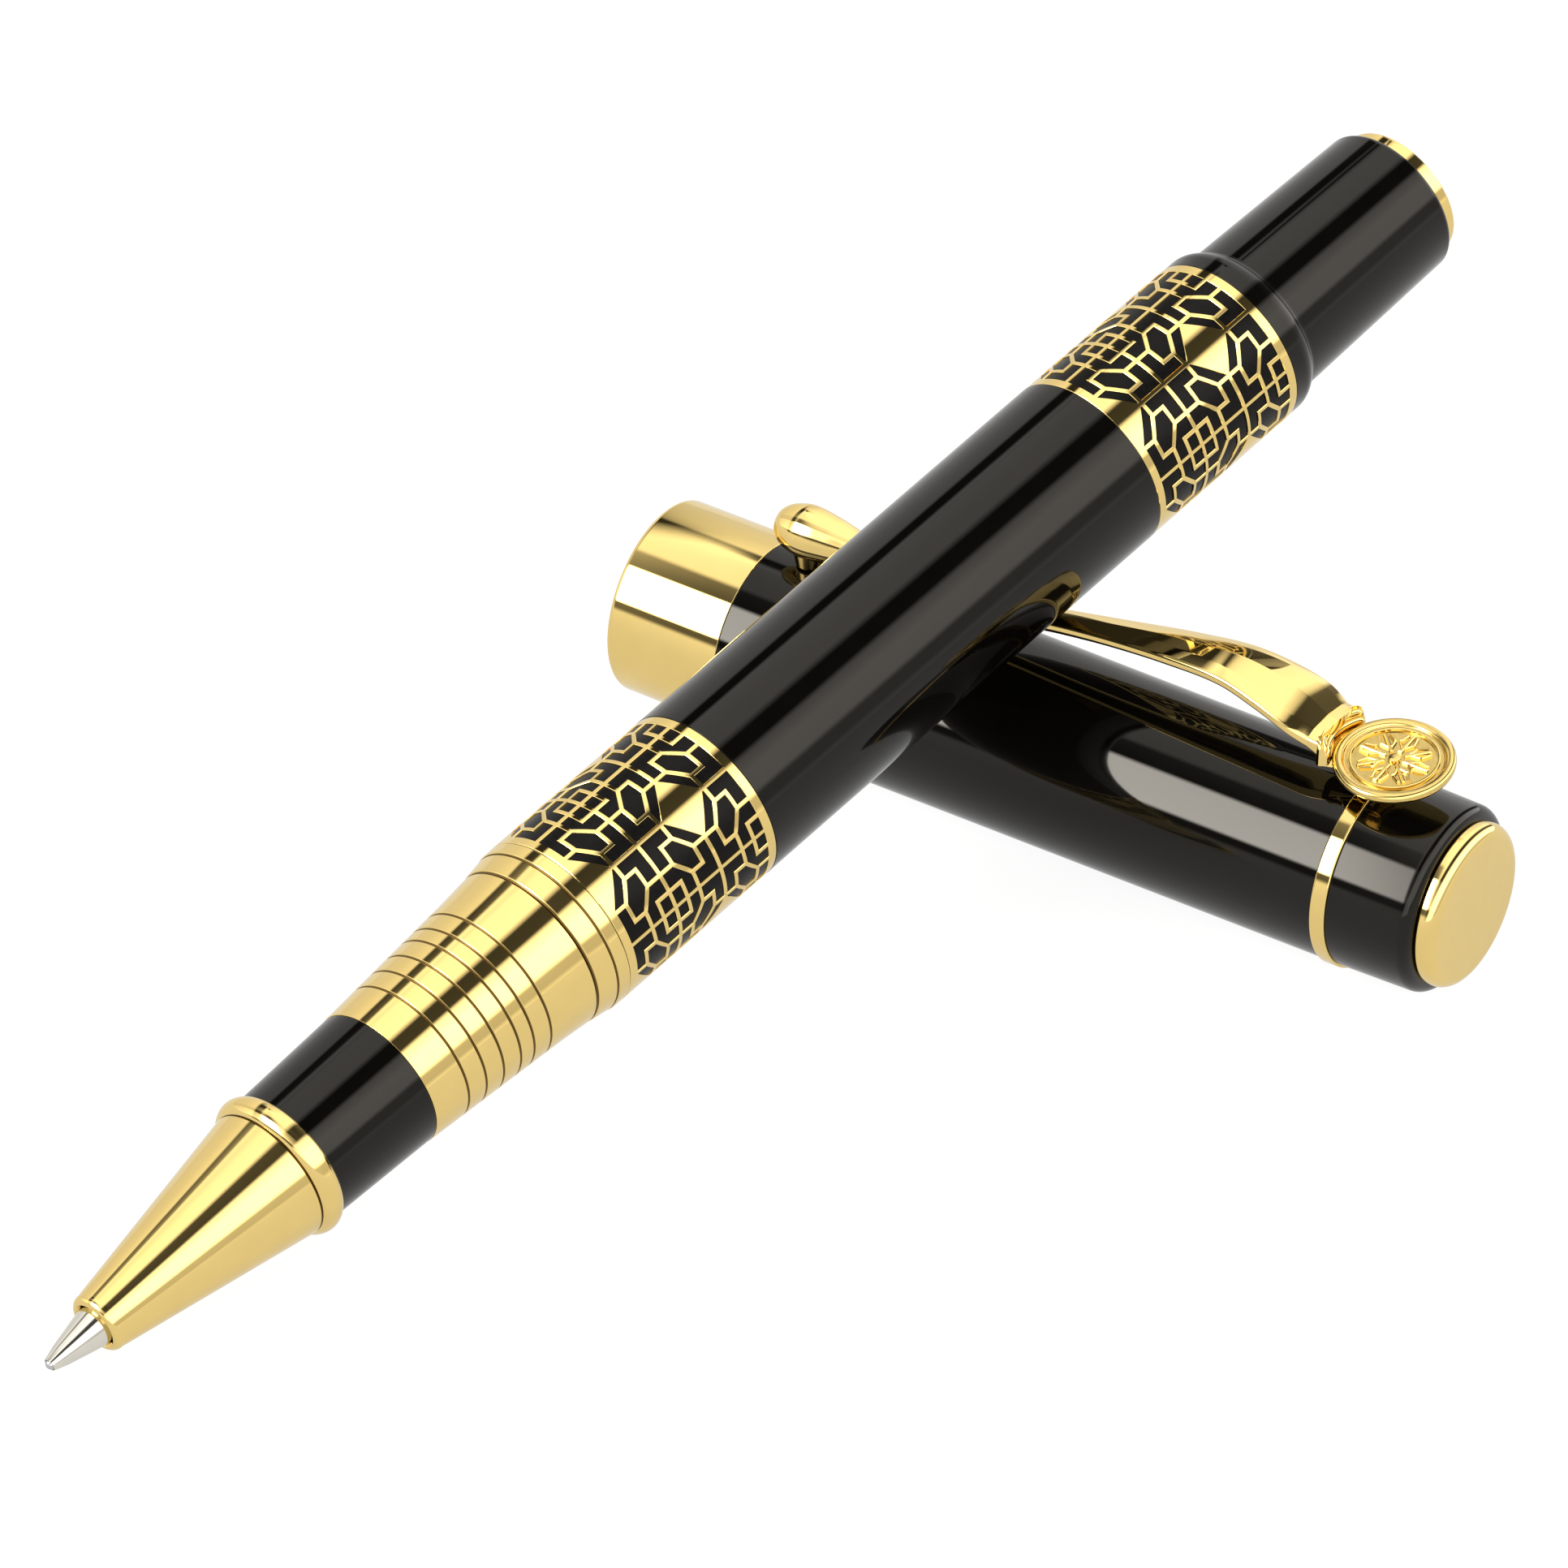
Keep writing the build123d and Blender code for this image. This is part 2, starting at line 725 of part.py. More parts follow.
# ---- tail ------------------------------------------------------------------
with BuildPart() as shoulder_ring:
    with BuildSketch(pen_side) as profile:
        with BuildLine():
            Line((shoulder_start, spigot_radius), (shoulder_start, 5.96))
            Line((shoulder_start, 5.96), (105.6, 5.95))
            RadiusArc((105.6, 5.95), (106.85, 5.50), 1.45)
            RadiusArc((106.85, 5.50), (tail_start, 5.38), -0.5)
            Line((tail_start, 5.38), (tail_start, spigot_radius))
            Line((tail_start, spigot_radius), (shoulder_start, spigot_radius))
        make_face()
    revolve(profile.sketch, axis=pen_line)
save(shoulder_ring, "shoulder_ring")

tail_bore = 4.20
tail_edge = 5.06
tail_round = 0.50
spigot_start = 100.0
end_wall = 120.10
with BuildPart() as tail_tube:
    with BuildSketch(pen_side) as profile:
        with BuildLine():
            Line((spigot_start, tail_bore), (spigot_start, spigot_radius))
            Line((spigot_start, spigot_radius), (tail_start, spigot_radius))
            Line((tail_start, spigot_radius), (tail_start, 5.34))
            Line((tail_start, 5.34), (tail_end - tail_round, tail_edge))
            RadiusArc((tail_end - tail_round, tail_edge), (tail_end, tail_edge - tail_round), tail_round)
            Line((tail_end, tail_edge - tail_round), (tail_end, stud_radius))
            Line((tail_end, stud_radius), (end_wall, stud_radius))
            Line((end_wall, stud_radius), (end_wall, tail_bore))
            Line((end_wall, tail_bore), (spigot_start, tail_bore))
        make_face()
    revolve(profile.sketch, axis=pen_line)
save(tail_tube, "tail_tube")

with BuildPart() as tail_plug:
    ring(pen_side, pen_line, 115.6, end_wall, stud_radius, tail_bore)
save(tail_plug, "tail_plug")

with BuildPart() as tail_finial:
    finial_radius = 4.50
    finial_round = 0.35
    finial_rim = 121.55  # where the disc's side begins to round over
    finial_apex = 122.15
    stem_end = 116.5
    dome_base = finial_rim + finial_round
    dome_radius = finial_radius - 0.30
    dome_rise = finial_apex - dome_base
    dome_curve = (dome_radius**2 + dome_rise**2) / (2 * dome_rise)
    with BuildSketch(pen_side) as profile:
        with BuildLine():
            Line((stem_end, 0), (stem_end, stud_radius))
            Line((stem_end, stud_radius), (tail_end, stud_radius))
            Line((tail_end, stud_radius), (tail_end, finial_radius))
            Line((tail_end, finial_radius), (finial_rim, finial_radius))
            RadiusArc((finial_rim, finial_radius), (dome_base, dome_radius), finial_round)
            RadiusArc((dome_base, dome_radius), (finial_apex, 0), dome_curve)
            Line((finial_apex, 0), (stem_end, 0))
        make_face()
    revolve(profile.sketch, axis=pen_line)
save(tail_finial, "tail_finial")
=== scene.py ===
"""Looks for the rollerball pen and its cap: turned gold and lacquer pieces, the two gold lattice bands,
the clip and its medallion, in the CAD frame. Lengths are in millimetres until a mesh is made."""

import math

import bpy
import numpy as np
from mathutils import Matrix, Vector
from mathutils.geometry import delaunay_2d_cdt


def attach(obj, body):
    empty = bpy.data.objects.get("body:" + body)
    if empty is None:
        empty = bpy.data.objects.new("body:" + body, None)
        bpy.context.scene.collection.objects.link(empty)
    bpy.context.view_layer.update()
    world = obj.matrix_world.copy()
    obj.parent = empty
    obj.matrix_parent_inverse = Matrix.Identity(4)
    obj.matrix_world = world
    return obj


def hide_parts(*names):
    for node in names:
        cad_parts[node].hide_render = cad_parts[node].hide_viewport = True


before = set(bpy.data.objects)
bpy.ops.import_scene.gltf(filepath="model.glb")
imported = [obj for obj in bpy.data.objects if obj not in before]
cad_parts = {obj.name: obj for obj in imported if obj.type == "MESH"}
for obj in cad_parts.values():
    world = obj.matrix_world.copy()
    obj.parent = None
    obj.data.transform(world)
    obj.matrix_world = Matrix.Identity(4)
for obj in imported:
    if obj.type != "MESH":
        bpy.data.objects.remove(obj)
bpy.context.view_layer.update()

MM = 0.001
cos, sin, pi = math.cos, math.sin, math.pi

# ---- places, as the CAD has them -------------------------------------------
CAP_MOUTH = np.array([-29.90, 23.498, 6.35])
PEN_TIP = np.array([-29.90 + 12.139, 23.498 - 82.123, 0.956])
HEADING, RISE = math.radians(80.185), math.radians(14.186)


class Line:
    """A piece's own axis: where station 0 is, which way it runs, and which way is its top."""

    def __init__(self, origin, along, top):
        self.origin = np.array(origin, float)
        self.along = np.array(along, float)
        self.top = np.array(top, float)
        self.side = np.cross(self.along, self.top)

    def at(self, station, radius=0.0, angle=0.0):
        outward = self.top * cos(angle) + self.side * sin(angle)
        return self.origin + self.along * station + outward * radius

    def place(self, station, across, height):
        return self.origin + self.along * station - self.side * across + self.top * height


CAP = Line(CAP_MOUTH, (1, 0, 0), (0, 0, 1))
PEN = Line(
    PEN_TIP,
    (cos(RISE) * cos(HEADING), cos(RISE) * sin(HEADING), sin(RISE)),
    (-sin(RISE) * cos(HEADING), -sin(RISE) * sin(HEADING), cos(RISE)),
)


# ---- materials -------------------------------------------------------------
def finish_material(name, base, metallic, rough, vary=0.03, grain=900.0, bump=0.0, **sockets):
    """A Principled surface whose colour and roughness wander a little with a fine noise."""
    made = bpy.data.materials.new(name)
    made.use_nodes = True
    nodes, links = made.node_tree.nodes, made.node_tree.links
    shader = nodes["Principled BSDF"]
    where = nodes.new("ShaderNodeTexCoord")
    noise = nodes.new("ShaderNodeTexNoise")
    noise.inputs["Scale"].default_value = grain
    noise.inputs["Detail"].default_value = 4.0
    links.new(where.outputs["Object"], noise.inputs["Vector"])
    tint = nodes.new("ShaderNodeValToRGB")
    low = [c * (1 - vary) for c in base]
    high = [min(1.0, c * (1 + vary)) for c in base]
    tint.color_ramp.elements[0].position = 0.3
    tint.color_ramp.elements[0].color = (*low, 1)
    tint.color_ramp.elements[1].position = 0.7
    tint.color_ramp.elements[1].color = (*high, 1)
    links.new(noise.outputs["Fac"], tint.inputs["Fac"])
    links.new(tint.outputs["Color"], shader.inputs["Base Color"])
    spread = nodes.new("ShaderNodeMapRange")
    spread.inputs["To Min"].default_value = rough * 0.85
    spread.inputs["To Max"].default_value = rough * 1.15
    links.new(noise.outputs["Fac"], spread.inputs["Value"])
    links.new(spread.outputs["Result"], shader.inputs["Roughness"])
    shader.inputs["Metallic"].default_value = metallic
    for socket, value in sockets.items():
        shader.inputs[socket.replace("_", " ")].default_value = value
    if bump:
        raised = nodes.new("ShaderNodeBump")
        raised.inputs["Strength"].default_value = bump
        raised.inputs["Distance"].default_value = 0.02 * MM
        links.new(noise.outputs["Fac"], raised.inputs["Height"])
        links.new(raised.outputs["Normal"], shader.inputs["Normal"])
    return made


GOLD = finish_material("gold_plate", (0.87, 0.645, 0.235), 1.0, 0.04, vary=0.015, grain=600)
GOLD_DARK = finish_material("gold_shadow", (0.16, 0.10, 0.03), 1.0, 0.30, vary=0.05, grain=2500)
GOLD_RELIEF = finish_material(
    "gold_relief", (0.74, 0.54, 0.18), 1.0, 0.14, vary=0.05, grain=2500, bump=0.15
)
LACQUER = finish_material(
    "black_lacquer", (0.0014, 0.0012, 0.0009), 0.0, 0.045, vary=0.2, grain=500,
    IOR=1.38, Specular_Tint=(1.0, 0.95, 0.87, 1.0),
)
RECESS = finish_material(
    "black_recess", (0.0035, 0.003, 0.0025), 0.0, 0.32, vary=0.3, grain=3000, bump=0.2,
    Specular_IOR_Level=0.1,
)
BRASS = finish_material("bare_brass", (0.72, 0.50, 0.20), 1.0, 0.28, vary=0.06, grain=1500, bump=0.1)
TIP_METAL = finish_material("nickel_silver", (0.74, 0.71, 0.63), 1.0, 0.10, vary=0.03, grain=1500)
BALL = finish_material("carbide_ball", (0.55, 0.55, 0.56), 1.0, 0.08, vary=0.03, grain=3000)
STEEL = finish_material("spring_steel", (0.56, 0.56, 0.57), 1.0, 0.22, vary=0.05, grain=2500)
DARK_PLASTIC = finish_material(
    "dark_plastic", (0.03, 0.03, 0.032), 0.0, 0.42, vary=0.12, grain=1800, bump=0.1
)
REFILL_SHELL = finish_material(
    "refill_shell", (0.70, 0.70, 0.67), 0.0, 0.38, vary=0.04, grain=1500, bump=0.08
)
FIBRE = finish_material("ink_fibre", (0.045, 0.045, 0.08), 0.0, 0.8, vary=0.25, grain=4000, bump=0.5)


# ---- mesh helpers ----------------------------------------------------------
def make_object(name, points, faces, material, smooth_angle=38.0):
    """A mesh object from millimetre points, shaded smooth but for its sharp edges."""
    mesh = bpy.data.meshes.new(name)
    mesh.from_pydata([tuple(np.asarray(p) * MM) for p in points], [], faces)
    mesh.materials.append(material)
    mesh.validate()
    for face in mesh.polygons:
        face.use_smooth = True
    mesh.set_sharp_from_angle(angle=math.radians(smooth_angle))
    made = bpy.data.objects.new(name, mesh)
    bpy.context.scene.collection.objects.link(made)
    return made


def finish_piece(made, body, nodes):
    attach(made, body)
    if nodes:
        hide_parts(*nodes)
    return made


def soften(outline, size, steps=3, closed=True):
    """Round an outline's corners by up to size, with a holding point each side of every round."""
    count = len(outline)
    rounded = []
    for index, corner in enumerate(outline):
        here = np.array(corner, float)
        before = np.array(outline[index - 1], float) - here
        after = np.array(outline[(index + 1) % count], float) - here
        end = not closed and index in (0, count - 1)
        length_before, length_after = np.linalg.norm(before), np.linalg.norm(after)
        if end or min(length_before, length_after) < 1e-9:
            rounded.append(tuple(here))
            continue
        before, after = before / length_before, after / length_after
        turn = pi - math.acos(max(-1.0, min(1.0, float(before @ after))))
        on_axis = abs(here[1]) < 1e-6
        if turn < math.radians(9) or on_axis:
            rounded.append(tuple(here))
            continue
        reach = min(size, 0.3 * length_before, 0.3 * length_after)
        hold = 0.35 * reach
        rounded.append(tuple(here + before * (reach + hold)))
        for step in range(steps + 1):
            t = step / steps
            blend = (1 - t) ** 2 * (here + before * reach) + 2 * t * (1 - t) * here
            rounded.append(tuple(blend + t**2 * (here + after * reach)))
        rounded.append(tuple(here + after * (reach + hold)))
    return rounded


def arc(start, end, radius, steps=8):
    """Points of the shorter arc from start to end. It bulges to the chord's left for a positive radius."""
    a, b = np.array(start, float), np.array(end, float)
    chord = b - a
    half = np.linalg.norm(chord) / 2
    left = np.array([-chord[1], chord[0]]) / (2 * half)
    back = math.sqrt(max(radius * radius - half * half, 0.0))
    centre = (a + b) / 2 - left * math.copysign(back, radius)
    first = math.atan2(a[1] - centre[1], a[0] - centre[0])
    last = math.atan2(b[1] - centre[1], b[0] - centre[0])
    sweep = (last - first + pi) % (2 * pi) - pi
    angles = [first + sweep * k / steps for k in range(steps + 1)]
    return [(centre[0] + abs(radius) * cos(t), centre[1] + abs(radius) * sin(t)) for t in angles]


def lathe_data(line, outline, segments):
    """Points and outward faces of a closed outline of (station, radius) turned about a line."""
    area = sum(
        a[0] * b[1] - b[0] * a[1] for a, b in zip(outline, outline[1:] + outline[:1])
    )
    if area > 0:
        outline = outline[::-1]
    points, rings = [], []
    for station, radius in outline:
        if radius < 1e-6:
            rings.append([len(points)])
            points.append(line.at(station))
            continue
        rings.append(list(range(len(points), len(points) + segments)))
        points += [line.at(station, radius, 2 * pi * k / segments) for k in range(segments)]
    faces = []
    for a, b in zip(rings, rings[1:] + rings[:1]):
        if len(a) == 1 and len(b) == 1:
            continue
        for k in range(segments):
            n = (k + 1) % segments
            if len(a) == 1:
                faces.append((a[0], b[n], b[k]))
            elif len(b) == 1:
                faces.append((a[k], a[n], b[0]))
            else:
                faces.append((a[k], a[n], b[n], b[k]))
    return points, faces


def turned(name, line, outline, body, nodes, material, size=0.06, segments=192, smooth=38.0):
    """A turned piece, with every corner of its outline a little rounded."""
    points, faces = lathe_data(line, soften(outline, size), segments)
    return finish_piece(make_object(name, points, faces, material, smooth), body, nodes)


def shade_grooves(made, line, spans):
    """Darker gold for the faces in the given spans of station: the shadow that a fine groove holds."""
    made.data.materials.append(GOLD_DARK)
    for face in made.data.polygons:
        station = (np.array(face.center) / MM - line.origin) @ line.along
        if any(first <= station <= last for first, last in spans):
            face.material_index = 1


def joined(parts):
    """Several (points, faces) as one."""
    points, faces = [], []
    for more_points, more_faces in parts:
        shift = len(points)
        points += list(more_points)
        faces += [tuple(i + shift for i in face) for face in more_faces]
    return points, faces


def lofted(rings):
    """A closed skin through rings with the same number of points, capped at both ends."""
    count = len(rings[0])
    points = [p for ring in rings for p in ring]
    faces = []
    for r in range(len(rings) - 1):
        for k in range(count):
            n = (k + 1) % count
            faces.append((r * count + k, (r + 1) * count + k, (r + 1) * count + n, r * count + n))
    faces.append(tuple(range(count)))
    faces.append(tuple(range(len(points) - 1, len(points) - 1 - count, -1)))
    return points, faces


# ---- cap -------------------------------------------------------------------
CAP_RADIUS, CAP_REAR_RADIUS, CAP_BORE = 6.35, 6.19, 5.75
CAP_SEAT, SEAT_START = 5.92, 8.2
SPIGOT_RADIUS, SPIGOT_START = 6.05, 4.0
MOUTH_LENGTH = 8.06
RING_START, RING_END = 51.70, 52.75
CROWN_END, CROWN_FACE, CROWN_BORE = 58.50, 59.80, 5.40
STUD_RADIUS = 1.5
LIP = 0.40
mouth_outline = [
    (MOUTH_LENGTH, CAP_RADIUS), (MOUTH_LENGTH, SPIGOT_RADIUS), (SPIGOT_START, SPIGOT_RADIUS),
    (SPIGOT_START, CAP_BORE), (0.15, CAP_BORE), (0, CAP_BORE + 0.15), (0, CAP_RADIUS - LIP),
]
mouth_outline += arc((0, CAP_RADIUS - LIP), (LIP, CAP_RADIUS), LIP)[1:]
turned("mouth_ring", CAP, mouth_outline, "cap", ["cap_mouth_ring"], GOLD)
tube_outline = [
    (SPIGOT_START, CAP_BORE), (SEAT_START, CAP_BORE), (SEAT_START, CAP_SEAT), (RING_START, CAP_SEAT),
    (RING_START, CAP_REAR_RADIUS), (MOUTH_LENGTH, CAP_RADIUS - 0.02), (MOUTH_LENGTH, SPIGOT_RADIUS),
    (SPIGOT_START, SPIGOT_RADIUS),
]
turned("cap_body", CAP, tube_outline, "cap", ["cap_tube"], LACQUER, size=0.05)

CROWN_ROUND, CROWN_EDGE, BUSH_END = 0.85, 6.10, 56.5
crown_outline = [(RING_END, CROWN_BORE), (RING_END, CAP_REAR_RADIUS), (CROWN_END - CROWN_ROUND, CROWN_EDGE)]
crown_outline += arc(crown_outline[-1], (CROWN_END, CROWN_EDGE - CROWN_ROUND), CROWN_ROUND)[1:]
crown_outline += [(CROWN_END, STUD_RADIUS), (BUSH_END, STUD_RADIUS), (BUSH_END, CROWN_BORE)]
turned("crown", CAP, crown_outline, "cap", ["cap_crown"], LACQUER, size=0.05)
DISC_RADIUS, DISC_ROUND, STUD_END = 5.33, 0.85, 59.30
disc_outline = [(CROWN_END, STUD_RADIUS), (CROWN_END, DISC_RADIUS - 0.15), (CROWN_END + 0.15, DISC_RADIUS)]
disc_rim = (CROWN_FACE - DISC_ROUND, DISC_RADIUS)
disc_outline += arc(disc_rim, (CROWN_FACE, DISC_RADIUS - DISC_ROUND), DISC_ROUND, 12)
disc_outline += [(CROWN_FACE, 2.4), (CROWN_FACE, 0), (STUD_END, 0), (STUD_END, STUD_RADIUS)]
turned("crown_end_disc", CAP, disc_outline, "cap", ["crown_disc"], GOLD)


def rounded_block(line, station, across, height, size, round_off):
    """A block with softened long edges: its section is in the (station, height) plane."""
    half_s, half_a, half_h = (v / 2 for v in size)
    corners = [(-half_s, -half_h), (half_s, -half_h), (half_s, half_h), (-half_s, half_h)]
    section = soften(corners, round_off)
    rings = []
    for a in (-half_a, half_a):
        rings.append([line.place(station + s, across + a, height + h) for s, h in section])
    return lofted(rings)


def eye(line, station, height, across, thickness, radius, segments=40):
    """A short cylinder across the cap, such as an ear's round end."""
    rings = []
    half, bevel = thickness / 2, 0.05
    for a, shrink in ((-half, 0.9), (-half + bevel, 1), (half - bevel, 1), (half, 0.9)):
        rings.append(
            [
                line.place(
                    station + radius * shrink * cos(2 * pi * k / segments),
                    across + a,
                    height + radius * shrink * sin(2 * pi * k / segments),
                )
                for k in range(segments)
            ]
        )
    return lofted(rings)


PIVOT_X, PIVOT_HEIGHT = 52.22, 6.95
EAR_OFFSET, EAR_THICKNESS, EAR_RADIUS = 1.30, 0.5, 0.60
band_outline = [
    (RING_START, CAP_SEAT), (RING_START, CAP_RADIUS), (RING_END, CAP_RADIUS), (RING_END, CAP_SEAT)
]
band_parts = [lathe_data(CAP, soften(band_outline, 0.10), 192)]
for ear in (-1, 1):
    across = ear * EAR_OFFSET
    band_parts.append(rounded_block(CAP, PIVOT_X, across, 6.42, (0.9, EAR_THICKNESS, 0.8), 0.1))
    band_parts.append(eye(CAP, PIVOT_X, PIVOT_HEIGHT, across, EAR_THICKNESS, EAR_RADIUS))
finish_piece(make_object("clip_band", *joined(band_parts), GOLD), "cap", ["clip_ring"])

# ---- clip ------------------------------------------------------------------
# station, half width, underside, edge, crest, crest half width, ridge above the crest
ARM = np.array(
    [
        (13.0, 1.00, 8.00, 9.05, 9.50, 0.40, 0.06),
        (16.0, 0.98, 7.95, 8.90, 9.30, 0.35, 0.05),
        (18.0, 0.93, 7.95, 8.85, 9.17, 0.30, 0.03),
        (22.0, 0.88, 7.95, 8.80, 9.02, 0.28, 0.02),
        (26.0, 0.93, 8.15, 9.00, 9.19, 0.28, 0.02),
        (30.0, 1.09, 8.85, 9.72, 9.93, 0.24, 0.02),
        (33.5, 1.33, 9.40, 10.30, 10.54, 0.18, 0.04),
        (38.0, 1.80, 10.00, 10.93, 11.20, 0.85, 0.16),
        (42.0, 2.25, 10.30, 11.22, 11.50, 1.35, 0.26),
        (45.0, 2.65, 9.80, 10.75, 11.08, 1.80, 0.30),
        (47.3, 2.80, 9.05, 10.05, 10.37, 1.95, 0.26),
        (48.6, 2.45, 8.35, 9.45, 9.75, 1.65, 0.16),
    ]
)


def smooth_rows(rows, step):
    """Catmull-Rom rows between the given ones, at about every step of the first column."""
    made = []
    for i in range(len(rows) - 1):
        a, b = rows[i], rows[i + 1]
        before = rows[max(i - 1, 0)]
        after = rows[min(i + 2, len(rows) - 1)]
        width = b[0] - a[0]
        slope_a = (b - before) / max(b[0] - before[0], 1e-9) * width
        slope_b = (after - a) / max(after[0] - a[0], 1e-9) * width
        pieces = max(1, int(round(width / step)))
        for k in range(pieces):
            t = k / pieces
            row = (2 * t**3 - 3 * t**2 + 1) * a + (t**3 - 2 * t**2 + t) * slope_a
            row = row + (3 * t**2 - 2 * t**3) * b + (t**3 - t**2) * slope_b
            row[0] = a[0] + width * t
            made.append(row)
    made.append(rows[-1])
    return made


def arm_ring(row):
    """The arm's section: a flat belly, rolled flanks, and a top that rises to a ridge."""
    station, half, under, edge, crest, crest_half, ridge = row
    shoulder = under + 0.42 * (edge - under)
    section = [
        (-0.62 * half, under),
        (0.62 * half, under),
        (half, shoulder),
        (half, edge),
        (crest_half, crest),
        (0.0, crest + ridge),
        (-crest_half, crest),
        (-half, edge),
        (-half, shoulder),
    ]
    count = len(section)
    ring = []
    for index, corner in enumerate(section):
        here = np.array(corner)
        before = np.array(section[index - 1]) - here
        after = np.array(section[(index + 1) % count]) - here
        reach = 0.07 if index in (4, 5, 6) else 0.22
        b = before * min(0.33, reach / np.linalg.norm(before))
        a = after * min(0.33, reach / np.linalg.norm(after))
        for step in range(5):
            t = step / 4
            ring.append(here + (1 - t) ** 2 * b + t**2 * a)
    return [CAP.place(station, y, h) for y, h in ring]


arm_data = lofted([arm_ring(row) for row in smooth_rows(ARM, 0.35)])
# station, radius
BULB = np.array(
    [
        (8.50, 0.0),
        (8.62, 0.62),
        (9.00, 1.12),
        (9.60, 1.47),
        (10.70, 1.72),
        (12.60, 1.52),
        (14.40, 1.18),
        (17.00, 0.86),
    ]
)
BULB_HEIGHT, FOOT_X, FOOT_HEIGHT = 8.80, 10.90, 6.41
bulb_line = Line(CAP.at(0) + np.array([0, 0, BULB_HEIGHT]), (1, 0, 0), (0, 0, 1))
bulb_outline = [(s, max(r, 0.0)) for s, r in smooth_rows(BULB, 0.12)] + [(BULB[-1][0], 0)]
bulb_data = lathe_data(bulb_line, bulb_outline, 72)
foot_data = lathe_data(
    Line(CAP.at(FOOT_X) + np.array([0, 0, FOOT_HEIGHT]), (0, 0, 1), (1, 0, 0)),
    soften([(0, 0), (0, 0.80), (1.6, 1.15), (1.6, 0)], 0.1),
    48,
)
blade = make_object("clip_blade", *joined([arm_data, bulb_data, foot_data]), GOLD, 42)
finish_piece(blade, "clip", ["clip_arm"])

NECK = np.array(
    [
        (48.60, 2.45, 8.35, 9.45, 9.75, 1.65, 0.12),
        (49.36, 2.45, 7.80, 9.38, 9.68, 1.65, 0.10),
        (49.50, 1.90, 7.32, 7.62, 7.66, 1.40, 0.0),
        (51.40, 1.00, 7.10, 7.50, 7.55, 0.80, 0.0),
    ]
)
MEDAL_X = 53.40


def collar_data(half_angle=34.0, steps=28):
    """The beaded collar: a sector, about the medallion's centre, of a ring with two rolled beads."""
    section = [(3.92, 7.90), (4.78, 7.90), (4.78, 9.60)] + arc((4.78, 9.60), (4.46, 9.74), 0.26, 8)[1:]
    section += [(4.42, 9.56)] + arc((4.40, 9.58), (4.14, 9.40), 0.22, 8) + [(4.11, 9.20)]
    section += arc((4.09, 9.22), (3.92, 8.98), 0.22, 6) + [(3.92, 8.70)]
    middle, base = 4.35, 7.90
    rings = []
    for k in range(steps + 1):
        part = 2 * k / steps - 1
        turn = math.radians(half_angle * part)
        full = math.sqrt(max(0.0, 1 - (max(0.0, abs(part) - 0.8) / 0.2) ** 2))
        rings.append([])
        for r, h in section:
            r = middle + (r - middle) * (0.6 + 0.4 * full)
            h = base + (h - base) * (0.65 + 0.35 * full)
            rings[-1].append(CAP.place(MEDAL_X - r * cos(turn), r * sin(turn), h))
    return lofted(rings)


neck_parts = [
    lofted([arm_ring(row) for row in NECK]),
    collar_data(),
    rounded_block(CAP, 51.6, 0.0, PIVOT_HEIGHT + 0.28, (1.2, 2.0, 0.54), 0.08),
    eye(CAP, PIVOT_X, PIVOT_HEIGHT, 0.0, 2.0, 0.55),
]
finish_piece(make_object("clip_collar", *joined(neck_parts), GOLD), "clip", ["clip_neck"])

# The medallion: a rimmed disc with a plain geometric rosette in relief.
LEAN = math.radians(8.0)
medal_axis = np.array([0, -sin(LEAN), cos(LEAN)])
MEDAL = Line(CAP.at(MEDAL_X) + np.array([0, 0, 8.70]), medal_axis, (1, 0, 0))
FIELD = -0.22
medal_outline = [(-0.70, 0), (-0.70, 3.45)] + arc((-0.70, 3.45), (-0.35, 3.80), 0.35)[1:]
medal_outline += [(-0.30, 3.80)] + arc((-0.30, 3.80), (0.0, 3.50), 0.30)[1:]
medal_outline += [(0.0, 3.38), (-0.06, 3.20), (FIELD, 3.10), (FIELD, 0)]
medal_parts = [lathe_data(MEDAL, soften(medal_outline, 0.05), 128)]
for inner, outer in ((2.62, 2.86), (0.0, 0.42)):
    raised = [(FIELD - 0.05, inner), (FIELD - 0.05, outer), (-0.07, outer - 0.03), (-0.05, outer - 0.08)]
    raised += [(-0.05, inner + 0.08), (-0.07, inner + 0.03)] if inner else [(-0.05, 0)]
    medal_parts.append(lathe_data(MEDAL, raised, 96))


def bar(start, end, half_width, top=-0.05, chamfer=0.06):
    """A raised bar on the medallion's field, from one (x, y) point to another."""
    a, b = np.array(start, float), np.array(end, float)
    run = (b - a) / np.linalg.norm(b - a)
    left = np.array([-run[1], run[0]])
    rings = []
    for height, grow in ((FIELD - 0.05, 0.0), (top - chamfer, 0.0), (top, -chamfer)):
        corners = []
        for along, side in ((-1, -1), (1, -1), (1, 1), (-1, 1)):
            spot = (b + run * grow) if along > 0 else (a - run * grow)
            spot = spot + left * side * (half_width + grow)
            corners.append(MEDAL.origin + MEDAL.along * height + MEDAL.top * spot[0] + MEDAL.side * spot[1])
        rings.append(corners)
    return lofted(rings)


